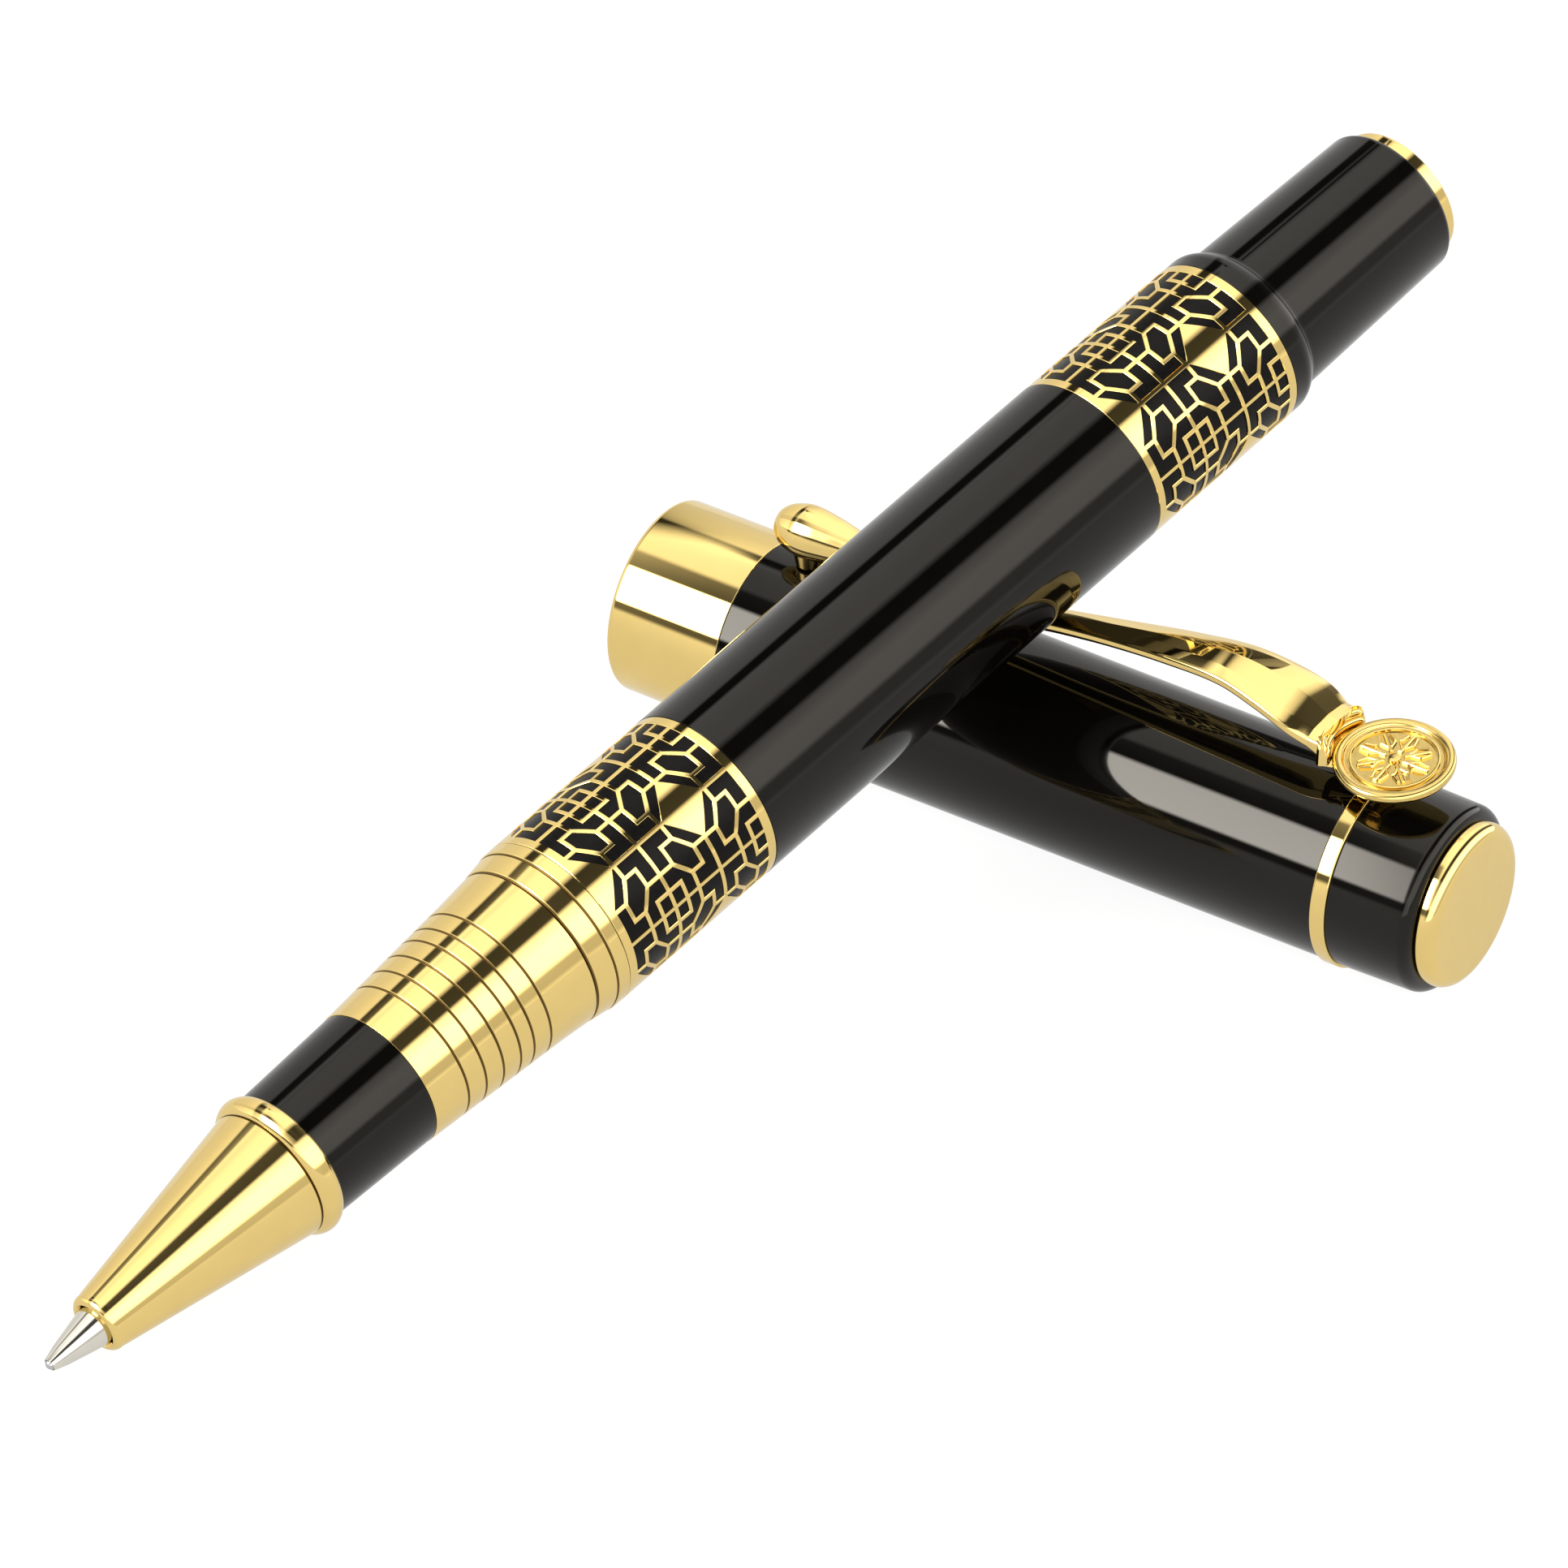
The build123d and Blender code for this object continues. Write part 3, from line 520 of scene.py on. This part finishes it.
for petal in range(8):
    turn = 2 * pi * petal / 8
    out = np.array([cos(turn), sin(turn)])
    across = np.array([-out[1], out[0]])
    medal_parts.append(bar(out * 0.62, out * 2.36, 0.12))
    for side in (-1, 1):
        knee = out * 1.55 + across * side * 0.46
        medal_parts.append(bar(out * 1.05 + across * side * 0.06, knee, 0.09))
        medal_parts.append(bar(knee, out * 2.25 + across * side * 0.30, 0.09))
boss = lathe_data(
    Line(MEDAL.origin - medal_axis * 1.08 - np.array([2.6, 0, 0]), medal_axis, (1, 0, 0)),
    [(0, 0), (0, 0.70), (0.42, 0.70), (0.42, 0)],
    48,
)
medal_parts.append(boss)
finish_piece(
    make_object("medallion", *joined(medal_parts), GOLD_RELIEF, 30), "clip", ["clip_medallion"]
)

# ---- section and refill tip ------------------------------------------------
CORE_RADIUS, TIP_BORE = 3.75, 1.35
CONE_END, BEAD_START, BEAD_END = 18.30, 18.42, 20.01
SLEEVE_END, GRIP_END, SECTION_END = 27.89, 41.02, 43.55
nose_outline = [(3.75, TIP_BORE)] + arc((3.50, 1.55), (4.05, 1.97), 0.48)
nose_outline += [(CONE_END, 4.38)] + arc((BEAD_START, 4.28), (BEAD_END, 4.54), 0.93, 18)
nose_outline += [(BEAD_END, CORE_RADIUS), (17.2, CORE_RADIUS), (17.2, 3.20), (15.2, 3.20)]
nose_outline += [(14.2, 2.10), (8.6, 2.10), (8.0, TIP_BORE)]
nose = turned("nose", PEN, nose_outline, "section", ["nose_cone"], GOLD, size=0.05)
shade_grooves(nose, PEN, [(18.32, 18.46)])
sleeve_outline = [(BEAD_END, CORE_RADIUS), (SLEEVE_END, CORE_RADIUS), (SLEEVE_END, 4.72), (BEAD_END, 4.46)]
turned("sleeve", PEN, sleeve_outline, "section", ["grip_sleeve"], LACQUER)

GRIP_FRONT, GRIP_SLOPE, GRIP_SHOULDER = 4.75, 0.064, 38.6
GROOVES = (30.53, 31.97, 33.39, 34.79, 35.89, 37.27)
GROOVE_HALF, GROOVE_DEPTH, GROOVE_RISE, GROOVE_SHADOW = 0.11, 0.12, 0.007, 0.085
grip_outline = [(SLEEVE_END, CORE_RADIUS), (SLEEVE_END, GRIP_FRONT)]
for groove in GROOVES:
    surface = GRIP_FRONT + GRIP_SLOPE * (groove - SLEEVE_END)
    grip_outline += [(groove - GROOVE_HALF, surface - GROOVE_RISE), (groove, surface - GROOVE_DEPTH)]
    grip_outline += [(groove + GROOVE_HALF, surface + GROOVE_RISE)]
grip_outline += [(GRIP_SHOULDER, GRIP_FRONT + GRIP_SLOPE * (GRIP_SHOULDER - SLEEVE_END)), (40.9, 5.64)]
grip_outline += [(GRIP_END, 5.52), (GRIP_END, CORE_RADIUS)]
grip = turned("grip", PEN, grip_outline, "section", ["grip_cone"], GOLD, size=0.03)
shadows = [(groove - GROOVE_SHADOW, groove + GROOVE_SHADOW) for groove in GROOVES]
shade_grooves(grip, PEN, shadows + [(40.95, GRIP_END)])
collar_outline = [
    (GRIP_END, 4.60), (GRIP_END, 5.50), (41.20, 5.70), (42.48, 5.88), (42.60, 5.80), (42.70, 5.95),
    (SECTION_END, 5.98), (SECTION_END, 4.60),
]
collar = turned("collar", PEN, collar_outline, "section", ["section_collar"], GOLD)
shade_grooves(collar, PEN, [(GRIP_END, 41.12), (42.52, 42.66)])

tip_outline = [(-0.23, 0.36), (-0.13, 0.37), (0.30, 0.37), (0.45, 0.22), (9.5, 0.22), (9.5, 1.28)]
tip_outline += [(3.30, 1.28), (0.75, 0.72), (-0.23, 0.43)]
turned(
    "refill_point", PEN, tip_outline, "refill", ["writing_tip"], TIP_METAL,
    size=0.03, segments=96, smooth=24,
)
BALL_CENTRE, BALL_RADIUS, BALL_STEPS = -0.10, 0.35, 24
ball_outline = [
    (BALL_CENTRE - BALL_RADIUS * cos(pi * k / BALL_STEPS), BALL_RADIUS * sin(pi * k / BALL_STEPS))
    for k in range(BALL_STEPS + 1)
]
ball_outline[-1] = (BALL_CENTRE + BALL_RADIUS, 0.0)
points, faces = lathe_data(PEN, ball_outline, 48)
finish_piece(make_object("ball", points, faces, BALL), "ball", ["refill_ball"])

# ---- barrel ----------------------------------------------------------------
BAND = 13.0
FRONT_BAND, REAR_BAND = 43.60, 91.85
LINER_RADIUS, BARREL_RADIUS, TAIL_SPIGOT, TAIL_BORE = 5.35, 6.0, 4.95, 4.20
TAIL_START, TAIL_END, TAIL_FLOOR = 107.20, 120.90, 120.10
shell_outline = [
    (FRONT_BAND + BAND, LINER_RADIUS), (REAR_BAND, LINER_RADIUS), (REAR_BAND, BARREL_RADIUS),
    (FRONT_BAND + BAND, BARREL_RADIUS),
]
turned("barrel_tube", PEN, shell_outline, "barrel", ["barrel_shell"], LACQUER, size=0.04)
shoulder_outline = [(REAR_BAND + BAND, TAIL_SPIGOT), (REAR_BAND + BAND, 5.96)]
shoulder_outline += arc((105.6, 5.95), (106.85, 5.50), 1.45)
shoulder_outline += arc((106.85, 5.50), (TAIL_START, 5.38), -0.5, 4)[1:] + [(TAIL_START, TAIL_SPIGOT)]
turned("shoulder", PEN, shoulder_outline, "barrel", ["shoulder_ring"], LACQUER, size=0.04)
TAIL_INSIDE, TAIL_EDGE, TAIL_ROUND = 100.0, 5.06, 0.50
tail_outline = [(TAIL_INSIDE, TAIL_BORE), (TAIL_INSIDE, TAIL_SPIGOT)]
tail_outline += [(TAIL_START, TAIL_SPIGOT), (TAIL_START, 5.34)]
tail_outline += arc((TAIL_END - TAIL_ROUND, TAIL_EDGE), (TAIL_END, TAIL_EDGE - TAIL_ROUND), TAIL_ROUND)
tail_outline += [(TAIL_END, STUD_RADIUS), (TAIL_FLOOR, STUD_RADIUS), (TAIL_FLOOR, TAIL_BORE)]
turned("tail", PEN, tail_outline, "barrel", ["tail_tube"], LACQUER, size=0.04)
FINIAL_RADIUS, FINIAL_RIM, FINIAL_END = 4.50, 121.55, 122.15
finial_outline = [(116.5, 0), (116.5, STUD_RADIUS), (TAIL_END, STUD_RADIUS), (TAIL_END, FINIAL_RADIUS)]
finial_outline += arc((FINIAL_RIM, FINIAL_RADIUS), (121.90, 4.20), 0.35, 6)
finial_outline += arc((121.90, 4.20), (FINIAL_END, 0.0), 35.4, 12)[1:]
finial_outline[-1] = (FINIAL_END, 0.0)
turned("finial", PEN, finial_outline, "barrel", ["tail_finial"], GOLD, size=0.05)

# ---- lattice bands ---------------------------------------------------------
# The pattern is mirrored out of one quarter of a repeat; its points are (around, along) in millimetres.
OUTER, INNER = 5.98, 5.90
ROW, HALF_ROWS, REPEATS = 4.0, 3, 4
HALF_REPEAT = pi * OUTER / REPEATS
FIRST_LINE = 0.46
BAR = 0.29
CHAMFER, OVERLAP = 0.03, 0.01
KNOT = (1.17, 1.05)
EYE = (2.40, 2.08)
ELBOW = (3.66, 1.12)
HEEL_V = 3.00
DIAMOND = (2.60, 2.385)
WRAP_STEP = 0.30
# spacing of the points that fill the bars, and their least distance from an edge
FILL_STEP, FILL_CLEAR = 0.35, 0.2


def windows():
    """Centre-line outlines of the six windows in a quarter of one repeat, as (around, along)."""
    (ku, kv), (eu, ev), (lu, lv), (du, dv) = KNOT, EYE, ELBOW, DIAMOND
    far, hv, end = HALF_REPEAT, HEEL_V, ROW
    return [
        [(0, 0), (ku, 0), (ku, kv), (0, kv)],
        [(ku, 0), (eu, 0), (eu, lv), (ku, ev), (0, ev), (0, kv), (ku, kv)],
        [(eu, 0), (far, 0), (far, ev), (lu, ev), (lu, lv), (eu, lv)],
        [(eu, lv), (lu, lv), (lu, ev), (eu, hv), (ku, hv), (ku, ev)],
        [(0, ev), (ku, ev), (ku, hv), (eu, hv), (eu, end), (0, end)],
        [(eu, hv), (lu, ev), (far, ev), (far, dv), (du, end), (eu, end)],
    ]


def inset(outline, amount):
    """Each edge of an anticlockwise outline moved inward by amount."""
    count = len(outline)
    made = []
    for i in range(count):
        before, here, after = (np.array(outline[(i + k) % count], float) for k in (-1, 0, 1))
        run_in, run_out = here - before, after - here
        run_in, run_out = run_in / np.linalg.norm(run_in), run_out / np.linalg.norm(run_out)
        left_in, left_out = np.array([-run_in[1], run_in[0]]), np.array([-run_out[1], run_out[0]])
        miter = left_in + left_out
        made.append(here + miter * amount / max(1e-6, float(miter @ left_in)))
    return made


def divided(outline, counts):
    made = []
    for i, count in enumerate(counts):
        a, b = outline[i], outline[(i + 1) % len(outline)]
        made += [a + (b - a) * k / count for k in range(count)]
    return made


def inside(point, outline):
    crossings = False
    for a, b in zip(outline, outline[1:] + outline[:1]):
        if (a[1] > point[1]) != (b[1] > point[1]):
            if point[0] < (b[0] - a[0]) * (point[1] - a[1]) / (b[1] - a[1]) + a[0]:
                crossings = not crossings
    return crossings


def quarter_plate():
    """The quarter's top sheet as points and triangles, and each window's two loops."""
    loops = []
    for outline in windows():
        area = sum(a[0] * b[1] - b[0] * a[1] for a, b in zip(outline, outline[1:] + outline[:1]))
        if area < 0:
            outline = outline[::-1]
        counts = []
        for a, b in zip(outline, outline[1:] + outline[:1]):
            counts.append(max(1, math.ceil(abs(b[0] - a[0]) / WRAP_STEP)))
        levels = [inset(outline, BAR / 2 - CHAMFER), inset(outline, BAR / 2)]
        loops.append([divided(level, counts) for level in levels])
    columns = max(2, math.ceil(HALF_REPEAT / WRAP_STEP))
    across = [HALF_REPEAT * k / columns for k in range(columns + 1)]
    border = [np.array([u, 0.0]) for u in across] + [np.array([u, ROW]) for u in across]
    points = list(border)
    edges = []
    for base in (0, columns + 1):
        edges += [(base + k, base + k + 1) for k in range(columns)]
    edges += [(0, columns + 1), (columns, 2 * columns + 1)]
    for top, _ in loops:
        first = len(points)
        points += top
        edges += [(first + k, first + (k + 1) % len(top)) for k in range(len(top))]
    holes = [[tuple(p) for p in top] for top, _ in loops]
    for u in across[1:-1]:
        for v in np.arange(FILL_STEP, ROW - 0.1, FILL_STEP):
            spot = np.array([u, v])
            near = min(float(np.linalg.norm(spot - p)) for p in points[2 * columns + 2 :])
            if near > FILL_CLEAR and not any(inside(spot, hole) for hole in holes):
                points.append(spot)
    made = delaunay_2d_cdt([Vector(p) for p in points], edges, [], 0, 1e-6)
    flat = [np.array(v[:]) for v in made[0]]
    triangles = []
    for face in made[2]:
        middle = sum(flat[i] for i in face) / 3
        if not any(inside(middle, hole) for hole in holes):
            a, b, c = (flat[i] for i in face)
            turn = (b[0] - a[0]) * (c[1] - a[1]) - (b[1] - a[1]) * (c[0] - a[0])
            triangles.append(tuple(face) if turn > 0 else tuple(reversed(face)))
    return flat, triangles, loops


PLATE = quarter_plate()


def lattice_band(name, start, turn_from_top, node):
    """One gold band: the pierced sheet, its chamfers and walls, and its two plain rims."""
    flat, triangles, loops = PLATE
    points, faces, radial = [], [], []
    turn = math.radians(turn_from_top)

    def place(around, along, radius):
        angle = turn + (around - HALF_REPEAT) / OUTER
        return PEN.at(start + along, radius, angle)

    for repeat in range(REPEATS):
        for flip_u in (-1, 1):
            for line, flip_v in ((1, -1), (1, 1), (3, -1)):
                base_u, base_v = repeat * 2 * HALF_REPEAT, FIRST_LINE + line * ROW
                # angle grows with u from top towards side, so an unmirrored quarter faces outward
                mirrored = flip_u * flip_v < 0

                def put(loop, radius):
                    first = len(points)
                    for u, v in loop:
                        points.append(place(base_u + flip_u * u, base_v + flip_v * v, radius))
                    return first

                first = put(flat, OUTER)
                for a, b, c in triangles:
                    corners = (first + a, first + b, first + c)
                    faces.append(corners[::-1] if mirrored else corners)
                    radial.append(True)
                for top, edge in loops:
                    count = len(top)
                    levels = [put(top, OUTER), put(edge, OUTER - CHAMFER), put(edge, INNER - OVERLAP)]
                    for upper, lower in zip(levels, levels[1:]):
                        for k in range(count):
                            n = (k + 1) % count
                            quad = (upper + k, upper + n, lower + n, lower + k)
                            faces.append(quad[::-1] if mirrored else quad)
                            radial.append(False)
    segments = 2 * REPEATS * max(2, math.ceil(HALF_REPEAT / WRAP_STEP))
    last_line = FIRST_LINE + HALF_ROWS * ROW
    soft = 0.05
    strips = (
        ((0.0, INNER), (0.0, OUTER - soft), False),
        ((0.0, OUTER - soft), (soft, OUTER), False),
        ((soft, OUTER), (FIRST_LINE, OUTER), True),
        ((last_line, OUTER), (BAND - soft, OUTER), True),
        ((BAND - soft, OUTER), (BAND, OUTER - soft), False),
        ((BAND, OUTER - soft), (BAND, INNER), False),
    )
    for (along_a, radius_a), (along_b, radius_b), is_top in strips:
        first = len(points)
        for along, radius in ((along_a, radius_a), (along_b, radius_b)):
            points += [
                place(HALF_REPEAT * 2 * REPEATS * k / segments, along, radius) for k in range(segments)
            ]
        for k in range(segments):
            n = (k + 1) % segments
            faces.append((first + k, first + segments + k, first + segments + n, first + n)[::-1])
            radial.append(is_top)

    mesh = bpy.data.meshes.new(name)
    mesh.from_pydata([tuple(np.asarray(p) * MM) for p in points], [], faces)
    mesh.materials.append(GOLD)
    for face in mesh.polygons:
        face.use_smooth = True
    origin, along = PEN.origin * MM, PEN.along
    normals = []
    for face in mesh.polygons:
        plain = np.array(face.normal)
        for index in face.vertices:
            if radial[face.index]:
                out = np.array(mesh.vertices[index].co) - origin
                out = out - along * (out @ along)
                normals.append(tuple(out / np.linalg.norm(out)))
            else:
                normals.append(tuple(plain))
    mesh.normals_split_custom_set(normals)
    made = bpy.data.objects.new(name, mesh)
    bpy.context.scene.collection.objects.link(made)
    finish_piece(made, "barrel", [node])


for band_name, band_start, band_turn in (("front", FRONT_BAND, 34.6), ("rear", REAR_BAND, 32.8)):
    lattice_band(f"{band_name}_lattice", band_start, band_turn, f"{band_name}_filigree")
    band_end = band_start + BAND
    backing = [(band_start, LINER_RADIUS), (band_end, LINER_RADIUS), (band_end, INNER), (band_start, INNER)]
    turned(
        f"{band_name}_backing", PEN, backing, "barrel", [f"{band_name}_infill"], RECESS,
        size=0.02, segments=256,
    )

# ---- inner pieces keep their CAD meshes ------------------------------------
KEPT = {
    "cap_liner": DARK_PLASTIC,
    "crown_bush": BRASS,
    "crown_screw": BRASS,
    "clip_pin": GOLD,
    "section_core": BRASS,
    "thread_insert": BRASS,
    "barrel_liner": BRASS,
    "tail_plug": BRASS,
    "tail_spring": STEEL,
    "tip_holder": DARK_PLASTIC,
    "refill_plug": DARK_PLASTIC,
    "refill_tube": REFILL_SHELL,
    "ink_reservoir": FIBRE,
    "ink_wick": FIBRE,
}
for node_name, material in KEPT.items():
    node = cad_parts[node_name]
    node.data.materials.clear()
    node.data.materials.append(material)

# ---- floor, light and camera -----------------------------------------------
# half the floor's side in metres, and how bright it is to the camera and in the pen's reflections
FLOOR_REACH = 6.0
FLOOR_TO_CAMERA, FLOOR_IN_MIRRORS = 0.92, 0.66
floor_mesh = bpy.data.meshes.new("floor")
floor_corners = [(x * FLOOR_REACH, y * FLOOR_REACH, 0) for x, y in ((-1, -1), (1, -1), (1, 1), (-1, 1))]
floor_mesh.from_pydata(floor_corners, [], [(0, 1, 2, 3)])
floor = bpy.data.objects.new("floor", floor_mesh)
bpy.context.scene.collection.objects.link(floor)
floor.location.z = -0.02 * MM
floor_material = bpy.data.materials.new("pale_floor")
floor_material.use_nodes = True
floor_shader = floor_material.node_tree.nodes["Principled BSDF"]
floor_shader.inputs["Base Color"].default_value = (0.12, 0.12, 0.12, 1)
floor_shader.inputs["Roughness"].default_value = 0.9
floor_shader.inputs["Specular IOR Level"].default_value = 0.1
floor_shader.inputs["Emission Color"].default_value = (1, 1, 1, 1)
floor_nodes, floor_links = floor_material.node_tree.nodes, floor_material.node_tree.links
seen_by = floor_nodes.new("ShaderNodeLightPath")
glow = floor_nodes.new("ShaderNodeMapRange")
glow.inputs["To Min"].default_value = FLOOR_IN_MIRRORS
glow.inputs["To Max"].default_value = FLOOR_TO_CAMERA
floor_links.new(seen_by.outputs["Is Camera Ray"], glow.inputs["Value"])
floor_links.new(glow.outputs["Result"], floor_shader.inputs["Emission Strength"])
floor_mesh.materials.append(floor_material)

AZIMUTH, ELEVATION, ROLL = 32.00365, 34.05633, 2.13924
EYE_POINT = (CAP_MOUTH * np.array([1, 1, 0]) + np.array([364.381, -567.551, 448.086])) * MM
LENS = 293.30
az, el, roll = (math.radians(v) for v in (AZIMUTH, ELEVATION, ROLL))
back = Vector((sin(az) * cos(el), -cos(az) * cos(el), sin(el)))
right = Vector((cos(az), sin(az), 0))
up = back.cross(right)
right, up = right * cos(roll) + up * sin(roll), up * cos(roll) - right * sin(roll)
camera_data = bpy.data.cameras.new("camera")
camera_data.lens = LENS
camera_data.sensor_width = 36.0
camera_data.clip_start = 0.01
camera_data.clip_end = 50.0
camera = bpy.data.objects.new("camera", camera_data)
camera.matrix_world = Matrix(
    (
        (right.x, up.x, back.x, EYE_POINT[0]),
        (right.y, up.y, back.y, EYE_POINT[1]),
        (right.z, up.z, back.z, EYE_POINT[2]),
        (0, 0, 0, 1),
    )
)
bpy.context.scene.collection.objects.link(camera)
bpy.context.scene.camera = camera
bpy.context.scene.view_settings.view_transform = "Standard"

# The studio: long soft panels with thin dark gaps, laid out along both turned pieces. Each ramp
# gives the panels' brightness by the angle, in degrees, of the surface that would mirror them.
PEN_PANELS = (
    (-90, 0.70), (-76, 0.78), (-56, 0.92), (-47, 1.10), (-45, 0.03), (-40, 0.03), (-38, 1.6), (-18, 1.7),
    (-14, 0.05), (-5, 0.06), (-2, 1.9), (6, 2.8), (17, 2.6), (20, 0.72), (26, 0.68), (29, 1.12), (42, 0.95),
    (62, 0.85), (90, 0.55),
)
CAP_PANELS = (
    (-90, 0.70), (-70, 0.85), (-56, 0.95), (-45.5, 1.15), (-43.5, 0.02), (-40, 0.02), (-38, 1.35),
    (-20, 1.30), (-17.5, 0.20), (-9, 0.10), (-7, 2.2), (11.5, 2.4), (13, 0.12), (16.5, 0.12), (18.5, 1.02),
    (40, 0.98), (70, 0.85), (90, 0.6),
)
# A much brighter strip that only the cap's own straight sides mirror.
CAP_STRIP = ((-90, 0.0), (-9, 0.0), (-7, 12.0), (11.5, 12.6), (13, 0.0), (90, 0.0))
PEN_REACH = 0.1  # below 1, the pen's panels also serve its cones, whose mirrors tip off its own circle
STRIP_SPREAD = 0.02  # squared cosine to the cap's axis at which the bright strip has faded out
world = bpy.data.worlds.new("studio")
bpy.context.scene.world = world
world.use_nodes = True
tree = world.node_tree
nodes, links = tree.nodes, tree.links
background = nodes["Background"]


def vector_math(operation, first, second=None):
    node = nodes.new("ShaderNodeVectorMath")
    node.operation = operation
    links.new(first, node.inputs[0])
    if second is not None:
        if isinstance(second, (tuple, list, Vector)):
            node.inputs[1].default_value = tuple(second)
        else:
            links.new(second, node.inputs[1])
    return node


def math_node(operation, *values):
    node = nodes.new("ShaderNodeMath")
    node.operation = operation
    for index, value in enumerate(values):
        if isinstance(value, (int, float)):
            node.inputs[index].default_value = value
        else:
            links.new(value, node.inputs[index])
    return node.outputs["Value"]


coordinate = nodes.new("ShaderNodeTexCoord")
halfway = vector_math(
    "NORMALIZE", vector_math("ADD", coordinate.outputs["Generated"], back).outputs["Vector"]
).outputs["Vector"]


def panels(along, stops):
    """Brightness by angle about one turned piece, and how far the mirror is from square to it."""
    along = Vector(along)
    facing = (back - along * back.dot(along)).normalized()
    across = along.cross(facing)
    dots = [vector_math("DOT_PRODUCT", halfway, v).outputs["Value"] for v in (across, facing, along)]
    angle = math_node("ARCTAN2", dots[0], dots[1])
    fraction = math_node("ADD", math_node("DIVIDE", angle, pi), 0.5)
    ramp = nodes.new("ShaderNodeValToRGB")
    peak = max(level for _, level in stops)
    elements = ramp.color_ramp.elements
    while len(elements) < len(stops):
        elements.new(0.5)
    for element, (degrees, level) in zip(elements, stops):
        element.position = (degrees + 90) / 180
        element.color = (level / peak, level / peak, level / peak, 1)
    links.new(fraction, ramp.inputs["Fac"])
    level = math_node("MULTIPLY", ramp.outputs["Color"], peak)
    return level, math_node("POWER", math_node("ABSOLUTE", dots[2]), 2.0)


pen_level, off_pen = panels(PEN.along, PEN_PANELS)
cap_level, off_cap = panels(CAP.along, CAP_PANELS)
strip_level, _ = panels(CAP.along, CAP_STRIP)
fade = math_node("SUBTRACT", 1.0, math_node("DIVIDE", off_cap, STRIP_SPREAD))
strip_share = math_node("MAXIMUM", fade, 0.0)
cap_level = math_node("ADD", cap_level, math_node("MULTIPLY", strip_level, strip_share))
near_pen = math_node("MULTIPLY", off_pen, PEN_REACH)
share = math_node("DIVIDE", near_pen, math_node("ADD", math_node("ADD", near_pen, off_cap), 1e-5))
difference = math_node("SUBTRACT", cap_level, pen_level)
strength = math_node("ADD", pen_level, math_node("MULTIPLY", difference, share))
links.new(strength, background.inputs["Strength"])
background.inputs["Color"].default_value = (1.0, 0.985, 0.95, 1)
